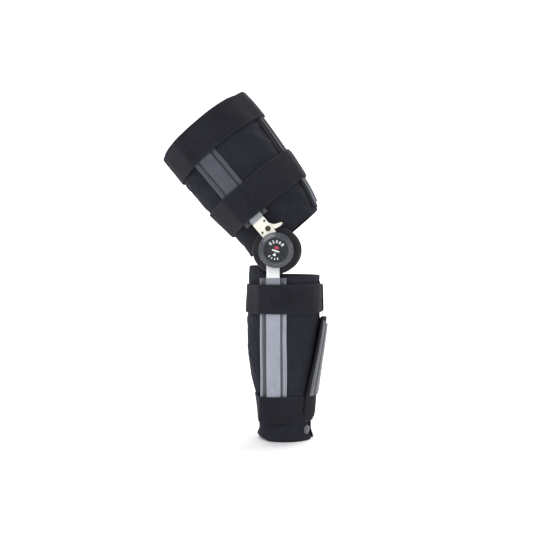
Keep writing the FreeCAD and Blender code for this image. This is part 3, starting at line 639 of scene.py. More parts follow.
FABRICS = {
    "thigh_cloth": dict(base=(0.0104, 0.0114, 0.0162)),
    "calf_cloth": dict(base=(0.0122, 0.0130, 0.0185)),
    "web": dict(base=(0.0106, 0.0114, 0.0158), ribs=0.26, nap=1.3, mottle=0.25, sheen=0.07,
                lint=0.22, edge=25.0, tint=(0.6, 0.6, 0.72)),
    "flap_cloth": dict(base=(0.0095, 0.0098, 0.013), nap=0.7, sheen=0.04),
    "thread": dict(base=(0.026, 0.026, 0.032), flat=False, nap=0.3, mottle=0.1, lint=0.0),
    "thread_grey": dict(base=(0.10, 0.105, 0.12), flat=False, nap=0.3, mottle=0.1, lint=0.0),
}
VINYLS = {
    # the grey pocket vinyl as lit; painted shadow from the hinge disc darkens its top end
    "vinyl_calf": dict(
        base=(0.262, 0.282, 0.335), rough=0.36, half_width=23.6,
        groove_shades=((13.9, 3.3, 0.92), (-16.6, 4.2, 0.92)),
        shade_and_tone_zone=((-58.0, -52.0), (0.0, 0.85), (0.150, 0.158, 0.190), (0.045, 0.048, 0.060))),
    # the same pocket vinyl painted much darker as shade; its lower end is painted lighter again
    # in the middle and darker on the flanges
    "vinyl_thigh": dict(
        base=(0.042, 0.048, 0.066), rough=0.40, half_width=23.6,
        groove_shades=((14.0, 3.0, 0.72), (-16.0, 3.0, 0.5)),
        shade_and_tone_zone=((64.0, 67.0), (0.9, 0.0), (0.230, 0.245, 0.270), (0.030, 0.032, 0.038))),
    "vinyl_front": dict(
        base=(0.070, 0.076, 0.092), rough=0.44, half_width=21.5, groove_shades=((11.6, 1.3, 0.7),)),
    "vinyl_front_thigh": dict(
        base=(0.125, 0.133, 0.152), rough=0.62, half_width=21.5, groove_shades=((11.6, 1.3, 0.7),),
        gloss=0.25, wear=0.1,
        shade_and_tone_zone=((50.0, 62.0), (0.0, 0.95), (0.016, 0.017, 0.022), (0.013, 0.014, 0.018))),
    "vinyl_obj": dict(base=(0.085, 0.090, 0.102), rough=0.42, flat=False),
}
HARDS = {
    "foam": dict(base=(0.014, 0.014, 0.016), rough=0.9, micro=1.0, scratch=0.0, bevel=0.8,
                 edge_light=0.08, spec=0.2, blotch=0.15),
    "disc_black": dict(base=(0.0050, 0.0054, 0.0075), rough=0.34, spec=0.35, mottle=0.25,
                       scratch=0.10, bevel=0.6, edge_light=0.35),
    "cap_black": dict(base=(0.0125, 0.0130, 0.0155), rough=0.33, mottle=0.25, scratch=0.12,
                      bevel=0.5, edge_light=0.4, coat=0.1),
    "ring_grey": dict(base=(0.0115, 0.0130, 0.0190), rough=0.24, mottle=0.35, scratch=0.3,
                      bevel=0.5, edge_light=0.8, coat=0.2, blotch=0.8,
                      tone=(0.050, 0.054, 0.070)),
    "label": dict(base=(0.0050, 0.0070, 0.0085), rough=0.30, mottle=0.3, scratch=0.06,
                  bevel=0.1, edge_light=0.1, coat=0.2),
    "print_white": dict(base=(0.80, 0.81, 0.82), rough=0.45, mottle=0.06, scratch=0.0,
                        bevel=0.05, edge_light=0.0, blotch=0.6),
    "print_red": dict(base=(0.36, 0.030, 0.065), rough=0.42, mottle=0.18, scratch=0.0,
                      bevel=0.05, edge_light=0.1, blotch=0.6),
    "alloy": dict(base=(0.74, 0.75, 0.77), rough=0.34, metal=0.35, mottle=0.05, scratch=0.15,
                  brushed=2, bevel=0.4, edge_light=0.3),
    "alloy_dull": dict(base=(0.52, 0.54, 0.57), rough=0.36, metal=0.75, mottle=0.10,
                       scratch=0.2, brushed=2, bevel=0.4, edge_light=0.3),
    "nylon": dict(base=(0.72, 0.71, 0.66), rough=0.5, mottle=0.05, scratch=0.05, bevel=0.2,
                  edge_light=0.05),
    "bronze": dict(base=(0.55, 0.38, 0.18), rough=0.35, metal=1.0, brushed=1, bevel=0.2),
    "steel": dict(base=(0.52, 0.52, 0.53), rough=0.32, metal=1.0, mottle=0.15, brushed=1,
                  bevel=0.25, edge_light=0.3),
    "screw_dark": dict(base=(0.085, 0.070, 0.060), rough=0.30, metal=0.85, mottle=0.3,
                       scratch=0.1, bevel=0.3, edge_light=0.8),
    "rivet_dark": dict(base=(0.030, 0.026, 0.024), rough=0.42, metal=0.5, mottle=0.2,
                       scratch=0.1, bevel=0.3, edge_light=0.5),
    "cream": dict(base=(0.66, 0.635, 0.555), rough=0.34, mottle=0.05, scratch=0.10,
                  edge_light=0.35, coat=0.25, tone=(0.69, 0.67, 0.60)),
    "buckle": dict(base=(0.011, 0.011, 0.013), rough=0.40, mottle=0.2, scratch=0.12,
                   bevel=0.5, edge_light=0.3),
    "snap_metal": dict(base=(0.16, 0.165, 0.175), rough=0.30, metal=0.9, mottle=0.2,
                       scratch=0.1, bevel=0.3, edge_light=0.6),
}
MATERIALS = {name: make(name, **look)
             for make, looks in ((fabric, FABRICS), (vinyl, VINYLS), (hard, HARDS))
             for name, look in looks.items()}


# ------------------------------------------------------------------ sleeves
def simulate(name, grid, pin, frames=18, growth=0.012, pressure=2.5):
    """Blender cloth on an open sheet, metres. Returns where the points go."""
    sheet = new_object(name + "_sim", grid.reshape(-1, 3), grid_faces(*grid.shape[:2]))
    group = sheet.vertex_groups.new(name="pin")
    levels = np.round(pin.ravel() * 20)
    for level in range(1, 21):
        members = [int(i) for i in np.nonzero(levels == level)[0]]
        if members:
            group.add(members, level / 20.0, "REPLACE")
    cloth = sheet.modifiers.new("cloth", "CLOTH")
    settings = cloth.settings
    settings.quality = 4
    settings.mass = 0.25
    settings.tension_stiffness = settings.compression_stiffness = 12.0
    settings.shear_stiffness = 4.0
    settings.bending_stiffness = 0.6
    settings.air_damping = 4.0
    settings.shrink_min = -growth
    settings.vertex_group_mass = "pin"
    settings.pin_stiffness = 1.0
    settings.use_pressure = True
    settings.uniform_pressure_force = pressure
    settings.effector_weights.gravity = 0.0
    cloth.collision_settings.use_collision = False
    cloth.collision_settings.use_self_collision = False
    cloth.point_cache.frame_start = 1
    cloth.point_cache.frame_end = frames
    scene = bpy.context.scene
    for number in range(1, frames + 1):
        scene.frame_set(number)
    solved = sheet.evaluated_get(bpy.context.evaluated_depsgraph_get())
    mesh = solved.to_mesh()
    places = np.zeros(len(mesh.vertices) * 3, np.float32)
    mesh.vertices.foreach_get("co", places)
    solved.to_mesh_clear()
    bpy.data.objects.remove(sheet, do_unlink=True)
    scene.frame_set(1)
    return places.reshape(grid.shape).astype(float)


def sleeve_angle(leg, share, radius_y):
    """Angle from +X at a share of the way round, from one side of the slit to the other."""
    first = math.asin((leg.front_y + SLIT_HALF) / radius_y)
    last = 2 * math.pi + math.asin((leg.front_y - SLIT_HALF) / radius_y)
    return first + (last - first) * share


def edge_height(leg, edge, angle):
    """Height of a sleeve edge that depends on x, found by repeated substitution."""
    centre, radius_x, _ = leg.section((leg.stations[0][0] + leg.stations[-1][0]) / 2)
    z = edge(centre + radius_x * math.cos(angle))
    for _ in range(3):
        centre, radius_x, _y = leg.section(z)
        z = edge(centre + radius_x * math.cos(angle))
    return z


def sleeve_grid(leg, low_edge, high_edge, rows, cols):
    grid = np.zeros((rows, cols, 3))
    uv = np.zeros((rows, cols, 2))
    mid_radius_y = leg.section((leg.stations[0][0] + leg.stations[-1][0]) / 2)[2]
    for j, share in enumerate(np.linspace(0, 1, cols)):
        angle = sleeve_angle(leg, share, mid_radius_y)
        low = edge_height(leg, low_edge, angle)
        high = edge_height(leg, high_edge, angle)
        for i in range(rows):
            z = low + (high - low) * i / (rows - 1)
            centre, radius_x, radius_y = leg.section(z)
            q = sleeve_angle(leg, share, radius_y)
            grid[i, j] = (centre + radius_x * math.cos(q), radius_y * math.sin(q), z)
            uv[i, j] = (q * (radius_x + radius_y) / 2, z)
    return grid, uv


def within(z, low, high, fade):
    """1 between two heights, fading to 0 over fade mm beyond them."""
    return smoothstep((z - low + fade) / fade) * smoothstep((high + fade - z) / fade)


def held_weights(leg, grid, arm_column, pocket, bands, hinge_radius):
    """How firmly each point is held: bands, pocket, front opening, hinge and end rows."""
    x, y, z = grid[..., 0], grid[..., 1], grid[..., 2]
    pin = np.zeros(x.shape)
    for low, high in bands:
        pin = np.maximum(pin, within(z, low, high, 5.0))
    pin = np.maximum(pin, arm_column * within(z, *pocket, 5.0))
    pin = np.maximum(pin, smoothstep((30.0 - np.abs(y - leg.front_y)) / 5.0) * (x > 12))
    pin = np.maximum(pin, smoothstep((hinge_radius + 6 - np.hypot(x, z)) / 6.0))
    pin[[0, 1, -2, -1]] = np.maximum(pin[[0, 1, -2, -1]], 0.75)
    return pin


def limited(x, limit):
    return limit * np.tanh(x / limit)


def press_arm_beds(leg, grid, pocket, bare_arm):
    """Press the sleeve in under the pocket and under the bare length of arm."""
    z = grid[..., 2]
    arm_inner = np.vectorize(leg.arm_out)(z) - BAR_THICK / 2
    for heights, half_width, depth in ((pocket, 20.6, 1.62), (bare_arm, 11.2, 0.75)):
        share = smoothstep((half_width + 2.2 - np.abs(grid[..., 0] - leg.arm_x)) / 2.2)
        share = share * within(z, *heights, 2.0)
        over = np.maximum(np.abs(grid[..., 1]) - (arm_inner - depth), 0)
        grid[..., 1] -= np.sign(grid[..., 1]) * over * share


def press_hems(grid, normals):
    """Sink a stitch line a little way in from both ends and return the two lines."""
    lines = []
    for end in (0, -1):
        from_end = np.abs(grid[..., 2] - grid[end, :, 2][None, :])
        grid -= normals * (0.42 * np.exp(-((from_end - 6.0) / 1.1) ** 2))[..., None]
        grid += normals * (0.25 * np.exp(-((from_end - 2.6) / 2.0) ** 2))[..., None]
        nearest = np.argmin(np.abs(from_end - 6.0), axis=0)
        lines.append(grid[nearest, np.arange(grid.shape[1])])
    return lines


def build_sleeve(leg, low_edge, high_edge, pocket, bare_arm, bands, seed, rows, cols,
                 hinge_radius, blend):
    """Padded sleeve: a simulated sheet shaped round the arms and bands, then a shell."""
    name = f"{leg.tag}_sleeve_soft"
    grid, uv = sleeve_grid(leg, low_edge, high_edge, rows, cols)
    normals = grid_normals(grid)
    x, z = grid[..., 0], grid[..., 2]
    arm_column = smoothstep((26.0 - np.abs(x - leg.arm_x)) / 5.0)
    pin = held_weights(leg, grid, arm_column, pocket, bands, hinge_radius)
    moved = np.zeros_like(grid)
    moved = simulate(name, grid * MM, np.clip(pin, 0, 1)) * 1000.0 - grid
    moved[~np.isfinite(moved).all(-1)] = 0
    outward = (moved * normals).sum(-1)
    sideways = moved - outward[..., None] * normals
    free = 1 - np.clip(pin, 0, 1) ** 2
    swell = limited(np.maximum(outward, 0), 3.2) - limited(np.maximum(-outward, 0), 1.2)
    # the padding settles a little between the bands, and dips beside each of them
    settling = waviness(uv[..., 0], uv[..., 1], seed, ((0.012, 1.0), (0.03, 0.5), (0.07, 0.22)))
    offset = swell * free + 0.75 * settling * free
    for band in bands:
        for edge in band:
            offset = offset - 0.7 * np.exp(-((z - edge) / 3.0) ** 2) * (1 - arm_column)
    shaped = (grid + normals * offset[..., None]
              + np.clip(sideways, -1.0, 1.0) * free[..., None] * 0.6)
    press_arm_beds(leg, shaped, pocket, bare_arm)
    hems = press_hems(shaped, normals)
    piece = shell(name, leg.to_row(shaped), 0.0034, MATERIALS[f"{leg.tag}_cloth"], uv)
    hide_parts(f"{leg.tag}_sleeve", f"{leg.tag}_popliteal_margin")
    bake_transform(piece)

    seam = Seam()
    for hem in hems:
        points = leg.to_row(hem)
        seam.run(points, unit(points - points.mean(0)), pitch=0.0036)
    piece = seam.build(f"{leg.tag}_hem_stitching", MATERIALS["thread"],
                       length=2.5, radius=0.34, lift=0.42)
    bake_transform(piece)


def thigh_point(x, y, z):
    return tuple(float(v) for v in THIGH.to_row((x, y, z)))


# two points on a diagonal behind the pivot, given to each sleeve as blend
DIAGONAL = math.sqrt(0.5)
build_sleeve(
    THIGH,
    low_edge=lambda x: 9.0 + 11.0 * float(smoothstep((-4.0 - x) / 16.0)),
    high_edge=lambda x: 229.0,
    pocket=(54, 205), bare_arm=(28, 54), bands=[(58, 108), (177, 227)],
    seed=11, rows=76, cols=190, hinge_radius=43,
    blend=("thigh", "shank", thigh_point(DIAGONAL, 0, DIAGONAL),
           thigh_point(-DIAGONAL * 41.0, 0, -DIAGONAL * 41.0)))
build_sleeve(
    CALF,
    low_edge=lambda x: -297.0 + 6.0 * float(smoothstep((-8.0 - x) / 26.0)),
    high_edge=lambda x: -40.0 + 15.0 * float(smoothstep((-15.0 - x) / 20.0)),
    pocket=(-244.5, -42.5), bare_arm=(-42.5, -30), bands=[(-102, -54), (-283, -234)],
    seed=23, rows=86, cols=170, hinge_radius=40,
    blend=("shank", "thigh", (DIAGONAL * 0.002, 0.0, -DIAGONAL * 0.002),
           (-DIAGONAL * 0.042, 0.0, DIAGONAL * 0.042)))


# ------------------------------------------------------------------ straps
def convex_hull(points):
    points = sorted(set((round(float(x), 5), round(float(y), 5)) for x, y in points))

    def half(ordered):
        chain = []
        for p in ordered:
            while len(chain) > 1:
                (ax, ay), (bx, by) = chain[-2:]
                if (bx - ax) * (p[1] - ay) - (by - ay) * (p[0] - ax) > 0:
                    break
                chain.pop()
            chain.append(p)
        return chain

    return np.array(half(points)[:-1] + half(points[::-1])[:-1])


def polygon_radii(polygon, centre_x, angles):
    """Radius of a convex polygon from (centre_x, 0) at each angle."""
    corners = polygon - np.array([centre_x, 0.0])
    edges = np.roll(corners, -1, 0) - corners
    normals = np.stack([edges[:, 1], -edges[:, 0]], 1)
    reach = (normals * corners).sum(1)
    facing = np.stack([np.cos(angles), np.sin(angles)], 1) @ normals.T
    with np.errstate(divide="ignore", invalid="ignore"):
        radii = np.where(facing > 1e-9, reach[None, :] / facing, 1e9)
    return radii.min(1)


def smooth_ring(values, sigma):
    """Gaussian smoothing of values round a closed ring."""
    shifts = np.arange(-int(4 * sigma) - 1, int(4 * sigma) + 2)
    weights = np.exp(-0.5 * (shifts / sigma) ** 2)
    weights /= weights.sum()
    return sum(w * np.roll(values, -shift) for w, shift in zip(weights, shifts))


RING_POINTS = 320
RING = np.linspace(0, 2 * math.pi, RING_POINTS, endpoint=False)
# shares of the strap's width, closer together at its edges
WIDTH_SHARES = np.array([0, .012, .035, .08, .16, .26, .38, .5, .62, .74, .84, .92, .965,
                         .988, 1.0])
MIDDLE = len(WIDTH_SHARES) // 2
WEB_UV_V = (WIDTH_SHARES - 0.5) * 50.0
LOOP_BAR = 3.2           # thickness of the slide loop's bar
LOOP_CLEARANCE = 0.35    # under and over the bar
END_WIDTH = 0.95         # width of the doubled ends as a share of the strap
TAB_LENGTH = 34.0


class Strap:
    """Webbing band round the leg whose ends pass through a slide loop.

    Angles are degrees round the leg from +X. front_lift: how far the front flap
    stands off the sleeve under the strap, 0 for none.
    """

    def __init__(self, name, leg, low, high, front_lift, tail_angle, loop_angle, seed):
        self.name, self.leg, self.seed = name, leg, seed
        self.width = high - low
        self.mid_z = (low + high) / 2
        self.heights = low + self.width * WIDTH_SHARES
        self.centres = np.array([float(leg.section(z)[0]) for z in self.heights])
        radii = self.wrapped_radii(front_lift)
        self.arc = np.cumsum(radii[MIDDLE]) * (2 * math.pi / RING_POINTS)
        # ripples fade out where the ring closes
        index = np.arange(RING_POINTS)
        fade = smoothstep(np.minimum(index, RING_POINTS - index) / 14.0)
        ripple = 0.28 * fade * waviness(self.arc[None, :], (WIDTH_SHARES * self.width)[:, None],
                                        seed, ((0.018, 1.0), (0.05, 0.6)))
        self.drift = 0.7 * fade * waviness(self.arc, 0.0, seed + 1, ((0.008, 1.0), (0.02, 0.6)))
        self.outer = radii + 0.55 + np.maximum(ripple, -0.2) + WEB_THICK
        self.loop_angle = math.radians(loop_angle)
        self.loop_radius = float(np.interp(self.loop_angle, RING, radii[MIDDLE]))
        self.loop_seat = self.highest_near_loop(loop_angle)
        self.reach = (tail_angle - loop_angle) * (self.loop_radius * math.pi / 180)

    def outline(self, z, front_lift):
        """Points the strap is drawn tight round at one height."""
        leg = self.leg
        centre, radius_x, radius_y = leg.section(z)

        def off_sleeve(gap, angles):
            return [(centre + (radius_x + gap) * math.cos(q), (radius_y + gap) * math.sin(q))
                    for q in angles]

        points = off_sleeve(0.3, np.linspace(0, 2 * math.pi, 97)[:-1])
        over_arm = leg.arm_out(z) + BAR_THICK / 2 + 1.9
        over_flange = leg.arm_out(z) - BAR_THICK / 2 + 0.35
        for across, out in ((12.4, over_arm), (21.0, over_flange)):
            for x in (leg.arm_x - across, leg.arm_x + across):
                points += [(x, out), (x, -out)]
        if front_lift:
            points += [p for p in off_sleeve(front_lift, np.linspace(-0.75, 0.5, 61))
                       if abs(p[1] - leg.front_y) < 24]
        return points

    def wrapped_radii(self, front_lift):
        rows = []
        for z, centre in zip(self.heights, self.centres):
            tight = polygon_radii(convex_hull(self.outline(z, front_lift)), centre, RING)
            soft = smooth_ring(tight, 3.2)
            rows.append(smooth_ring(0.15 * soft + 0.85 * np.maximum(tight, soft), 1.2))
        radii = np.array(rows)
        # the weave stiffens it across its width, so it stays nearly straight there
        share = WIDTH_SHARES[:, None]
        straight = radii[0][None] * (1 - share) + radii[-1][None] * share
        return np.maximum(radii, 0.5 * radii + 0.5 * straight)

    def highest_near_loop(self, loop_angle):
        """Farthest reach of the band towards the loop, where the loop rests."""
        x = self.centres[:, None] + self.outer * np.cos(RING) - self.centres[MIDDLE]
        y = self.outer * np.sin(RING)
        turn = (np.degrees(np.arctan2(y, x)) - loop_angle + 180) % 360 - 180
        reach = x * math.cos(self.loop_angle) + y * math.sin(self.loop_angle)
        return float(reach[np.abs(turn) < 14].max())

    def band_radius(self, row, angle):
        return np.interp(angle % (2 * math.pi), np.append(RING, 2 * math.pi),
                         np.append(self.outer[row], self.outer[row][0]))

    def rise(self, distance, under):
        """Lift of the doubled webbing over the loop's bar, distance mm from it."""
        top = (self.loop_seat + LOOP_BAR + 2 * LOOP_CLEARANCE) / np.cos(
            distance / self.loop_radius)
        share = (smoothstep((distance - 2.0) / 2.6)
                 * (1 - smoothstep((distance - 9.0) / 9.0)))
        return share * np.maximum(top - under, 3.4)

    def make(self, suffix, radii, angles, z, u, wrap=False, reverse=False):
        """Shell of webbing with its outer face at the given radii."""
        grid = np.stack([self.centres[:, None] + radii * np.cos(angles)[None, :],
                         radii * np.sin(angles)[None, :], z], -1)
        uv = np.stack(np.meshgrid(u, WEB_UV_V), -1)
        if reverse:
            grid, uv = grid[:, ::-1], uv[:, ::-1]
        return shell(f"{self.name}_{suffix}", self.leg.to_row(grid), WEB_THICK * MM,
                     MATERIALS["web"], uv, wrap=wrap)

    def band(self):
        z = (self.mid_z + ((WIDTH_SHARES - 0.5) * self.width)[:, None]
             + self.drift[None, :])
        piece = self.make("band", self.outer, RING, z, self.arc, wrap=True)
        register(piece, "strap_web", self.leg.body, self.name)

    def end(self, suffix, direction, reach, end_lift):
        """Webbing that comes up through the loop, over its bar and back along the strap."""
        s = np.linspace(1.2, reach, max(24, int(reach / 1.3)))
        angles = self.loop_angle + direction * s / self.loop_radius
        curl = end_lift * smoothstep((s - reach + 5.0) / 5.0) ** 2
        radii = []
        for row in range(len(WIDTH_SHARES)):
            under = self.band_radius(row, angles)
            radii.append(under + 0.25 + self.rise(s, under) + curl)
        z_off = (((WIDTH_SHARES - 0.5) * self.width * END_WIDTH)[:, None]
                 + 0.4 * waviness(s, 0.0, self.seed + 5, ((0.02, 1.0),))[None, :])
        # rounded corners at the free end
        narrowing = 1 - 0.10 * np.clip((s - (reach - 5.0)) / 5.0, 0, 1) ** 4
        piece = self.make(suffix, np.array(radii) + WEB_THICK, angles,
                          self.mid_z + z_off * narrowing[None, :], s + 400,
                          reverse=direction < 0)
        register(piece, "strap_web", self.leg.body)

    def on_end(self, along, across):
        """Point and normal on the doubled webbing, mm from the loop and the strap's middle."""
        angle = self.loop_angle + along / self.loop_radius
        share = across / self.width + 0.5
        row = int(np.clip(np.searchsorted(WIDTH_SHARES, share), 1, len(WIDTH_SHARES) - 1))
        centre = float(np.interp(share, WIDTH_SHARES, self.centres))
        radius = (self.band_radius(row, angle) + 0.25
                  + self.rise(abs(along), self.band_radius(MIDDLE, angle)) + WEB_THICK)
        x, y = math.cos(angle), math.sin(angle)
        return (centre + radius * x, radius * y, self.mid_z + across), (x, y, 0.0)

    def stitch_line(self, seam, start, end):
        """Straight line of stitches between two (along, across) places."""
        n = max(2, int(math.hypot(end[0] - start[0], end[1] - start[1]) / 3.4))
        points, normals = zip(*[
            self.on_end(start[0] + (end[0] - start[0]) * t, start[1] + (end[1] - start[1]) * t)
            for t in np.linspace(0, 1, n + 1)])
        points = self.leg.to_row(points)
        normals = self.leg.to_row(normals) * 1000.0
        along = unit(points[1:] - points[:-1])
        seam.add((points[1:] + points[:-1]) / 2, along,
                 square_to(along, unit(normals[1:] + normals[:-1])))

    def stitching(self):
        """Two rows across the tail's end, and a box with a cross on the tab."""
        seam = Seam()
        v = self.width * END_WIDTH / 2 - 4.0
        for inset in (4.5, 8.0):
            self.stitch_line(seam, (self.reach - inset, -v), (self.reach - inset, v))
        a, b = -31.0, -19.5
        for start, end in (((a, -v), (b, -v)), ((a, v), (b, v)), ((a, -v), (a, v)),
                           ((b, -v), (b, v)), ((a, -v), (b, v)), ((a, v), (b, -v))):
            self.stitch_line(seam, start, end)
        piece = seam.build(self.name + "_stitching", MATERIALS["thread"],
                           length=2.5, radius=0.36, lift=0.10)
        register(piece, "strap_web", self.leg.body)

    def build(self):
        self.band()
        self.end("tail", 1, self.reach, end_lift=0.7)
        self.end("tab", -1, TAB_LENGTH, end_lift=0.0)
        self.stitching()


# name, half, low and high edge, front lift, tail angle, loop angle, seed
STRAPS = [
    ("thigh_upper_strap", THIGH, 179.0, 227.0, 5.8, 96, 35, 31),
    ("thigh_lower_strap", THIGH, 62.0, 112.0, 5.8, 96, 35, 37),
    ("calf_upper_strap", CALF, -98.0, -54.0, 0, 100, 35, 41),
    ("calf_lower_strap", CALF, -268.0, -228.0, 0, 112, 50, 43),
]
for strap in STRAPS:
    Strap(*strap).build()


# ------------------------------------------------------------------ vinyl pockets over the arms
# half sections from the rear flange edge to the middle: across, outward from the arm's middle
POCKET_TOP = [
    (-20.2, -2.4), (-20.45, -1.95), (-20.25, -1.45), (-19.6, -1.05), (-18.6, -0.85),
    (-17.2, -0.85), (-16.0, -1.15), (-15.0, -1.7), (-13.8, -1.98), (-12.6, -1.98),
    (-11.95, -1.2), (-11.55, 0.3), (-11.1, 1.4), (-10.6, 2.05), (-9.9, 2.38), (-8.0, 2.55),
    (-4.5, 2.68), (0.0, 2.74)]
POCKET_UNDER = [
    (-20.1, -2.74), (-20.0, -2.76), (-19.6, -2.78), (-19.0, -2.78), (-18.0, -2.78),
    (-17.0, -2.78), (-16.0, -2.78), (-14.8, -2.78), (-13.6, -2.78), (-12.2, -2.74),
    (-11.0, -1.9), (-10.45, 0.3), (-10.4, 1.0), (-10.2, 1.35), (-9.6, 1.5), (-7.8, 1.52),
    (-4.4, 1.54), (0.0, 1.55)]
BACK_TOP = [(-11.4, -1.66), (-6, -1.62), (0, -1.62)]
BACK_UNDER = [(-11.4, -2.74), (-6, -2.76), (0, -2.76)]


def build_pocket(side_name, leg, low, high, seed, thread):
    side = SIDES[side_name]
    name = f"{side_name}_{leg.tag}_pocket"

    def place(z, section):
        u, out = section[:, 0], section[:, 1]
        raised = smoothstep((out + 2.6) / 1.6)
        relief = 0.22 * waviness(u * 1.5, z, seed, ((0.02, 1.0), (0.06, 0.7), (0.13, 0.3)))
        # the vinyl is turned in at both mouths
        turn_in = 0.35 * math.exp(-min(z - low, high - z) / 0.7)
        out = out + (np.minimum(relief, 0.2) - turn_in) * raised
        sway = 0.3 * waviness(z, u * 0.2, seed + 50, ((0.01, 1.0), (0.03, 0.5)))
        return leg.on_arm(side, u + sway * (np.abs(u) > 12), out, z)

    # denser rows at both mouths
    rows = sorted({*np.linspace(low, high, 44), low + 0.5, low + 1.4, high - 0.5, high - 1.4})
    cover = extrude_section(name + "_vinyl", POCKET_TOP, POCKET_UNDER, place, rows,
                            MATERIALS[f"vinyl_{leg.tag}"], smooth=True)
    register(cover, "grey_vinyl", leg.body, name)

    # back sheet under the arm
    back = extrude_section(
        name + "_back", BACK_TOP, BACK_UNDER,
        lambda z, section: leg.on_arm(side, section[:, 0], section[:, 1], z),
        list(np.linspace(low + 0.3, high - 0.3, 24)), MATERIALS["flap_cloth"])
    register(back, "grey_vinyl", leg.body)

    seam = Seam()
    heights = np.linspace(low + 2.5, high - 2.5, 60)
    normals = [(0.0, side, 0.0)] * len(heights)
    for across, out in ((-13.2, -1.96), (13.2, -1.96), (-18.5, -0.85), (18.5, -0.85)):
        seam.run([leg.on_arm(side, across, out, z) for z in heights], normals, pitch=0.0036)
    stitching = seam.build(name + "_stitching", MATERIALS[thread],
                           length=2.4, radius=0.27, lift=0.10)
    register(stitching, "grey_vinyl", leg.body)


for side_name, first_seed in (("lat", 3), ("med", 4)):
    build_pocket(side_name, THIGH, 54.0, 205.0, first_seed + 10, "thread")
    build_pocket(side_name, CALF, -244.0, -42.5, first_seed, "thread_grey")


# ------------------------------------------------------------------ front flap and vinyl strip
# half section of the strip: across, height off the flap
STRIP_TOP = [
    (-19.8, 0.15), (-20.15, 0.6), (-19.9, 1.05), (-19.0, 1.35), (-17.0, 1.5), (-14.6, 1.45),
    (-12.8, 1.1), (-11.6, 0.72), (-10.8, 1.15), (-10.45, 1.8), (-9.8, 2.3), (-8.4, 2.5),
    (-4.5, 2.62), (0, 2.68)]
STRIP_UNDER = [(-19.7, 0.05)] + [(u, 0.0) for u, _ in STRIP_TOP[1:]]


def front_lean(leg, z):
    """Extra distance the calf's front stands off towards its upper end."""
    return 4.5 * min(1.0, max(0.0, (z + 235.0) / 125.0)) if leg is CALF else 0.0


def front_point(leg, s, z, off):
    """Point s mm across the front at height z, off mm from the sleeve."""
    centre, radius_x, radius_y = leg.section(z)
    off = off + front_lean(leg, z)
    if leg is CALF:
        outward = 5.0 * float(smoothstep((-110.0 - z) / 120.0))
    else:
        outward = -4.0 + 8.0 * float(smoothstep((z - 45.0) / 70.0))
    y = s + leg.front_y - outward
    q = y / (radius_y + off)
    return (centre + (radius_x + off) * math.sqrt(max(0.0, 1 - q * q)), y, z)


def build_flap(leg, low, high, off, half_width, seed):
    """Cloth flap; on the calf its inner-side edge comes down to the sleeve."""
    rows, cols = 60, 34
    grid = np.zeros((rows, cols, 3))
    uv = np.zeros((rows, cols, 2))
    for i in range(rows):
        for j in range(cols):
            s = -half_width + 2 * half_width * j / (cols - 1)
            corner = 45.0 * max(0, abs(s) / half_width - 0.72) ** 2
            bottom, top = low + corner, high - corner
            z = bottom + (top - bottom) * (i / (rows - 1))
            drop = float(smoothstep((s - 10.0) / 14.0)) if leg is CALF else 0.0
            lift = off * (1 - 0.72 * drop)
            lift += 0.22 * float(waviness(s * 2.0, z, seed, ((0.012, 1.0), (0.03, 0.6))))
            x, y, z = front_point(leg, s, z, lift)
            grid[i, j] = (x - front_lean(leg, z) * drop * 0.75, y, z)
            uv[i, j] = (s, z)
    outer = leg.to_row(grid)
    flap = shell(f"{leg.tag}_front_flap_cloth", outer, 0.0017, MATERIALS["flap_cloth"], uv)
    register(flap, "sleeve_fabric", leg.body, f"{leg.tag}_front_flap")

    normals = grid_normals(outer)
    seam = Seam()
    for j in (2, cols - 3):
        seam.run(outer[2:-2, j], normals[2:-2, j], pitch=0.0038)
    stitching = seam.build(f"{leg.tag}_flap_stitching", MATERIALS["thread"],
                           length=2.4, radius=0.3, lift=0.12)
    register(stitching, "sleeve_fabric", leg.body)


def build_strip(leg, low, high, off, seed, material):
    """Vinyl strip with a raised channel; on the calf both ends are cut slanting."""

    def place(share, section):
        points = []
        for s, w in section:
            bottom, top = low, high
            if leg is CALF:
                bottom += 5.4 * float(smoothstep((s + 4.0) / 20.0))
                top -= 7.0 * float(smoothstep((s + 19.0) / 18.0))
            z = bottom + (top - bottom) * share
            if w > 0.3:
                wave = float(waviness(s * 1.6, z, seed, ((0.02, 1.0), (0.06, 0.6))))
                w += 0.16 * wave - 0.3 * math.exp(-max(min(z - bottom, top - z), 0) / 0.8)
            points.append(front_point(leg, s, z, off + w))
        return leg.to_row(points)

    rows = sorted({*np.linspace(0, 1, 52), 0.004, 0.011, 0.989, 0.996})
    strip = extrude_section(f"{leg.tag}_front_strip", STRIP_TOP, STRIP_UNDER, place, rows,
                            MATERIALS[material], smooth=True, v_scale=high - low)
    register(strip, "grey_vinyl", leg.body, f"{leg.tag}_front_stay")

    seam = Seam()
    shares = np.linspace(0.03, 0.97, 60)
    for s, w in ((-11.6, 0.78), (11.6, 0.78), (-18.2, 1.48), (18.2, 1.48)):
        points, normals = [], []
        for share in shares:
            points.append(place(share, [(s, w)])[0])
            left, right = place(share, [(s - 0.5, w), (s + 0.5, w)])
            along = (place(min(1, share + 0.01), [(s, w)])[0]
                     - place(max(0, share - 0.01), [(s, w)])[0])
            normals.append(unit(np.cross(right - left, along)))
        seam.run(points, normals, pitch=0.0037)
    stitching = seam.build(f"{leg.tag}_strip_stitching", MATERIALS["thread_grey"],
                           length=2.4, radius=0.27, lift=0.10)
    register(stitching, "grey_vinyl", leg.body)


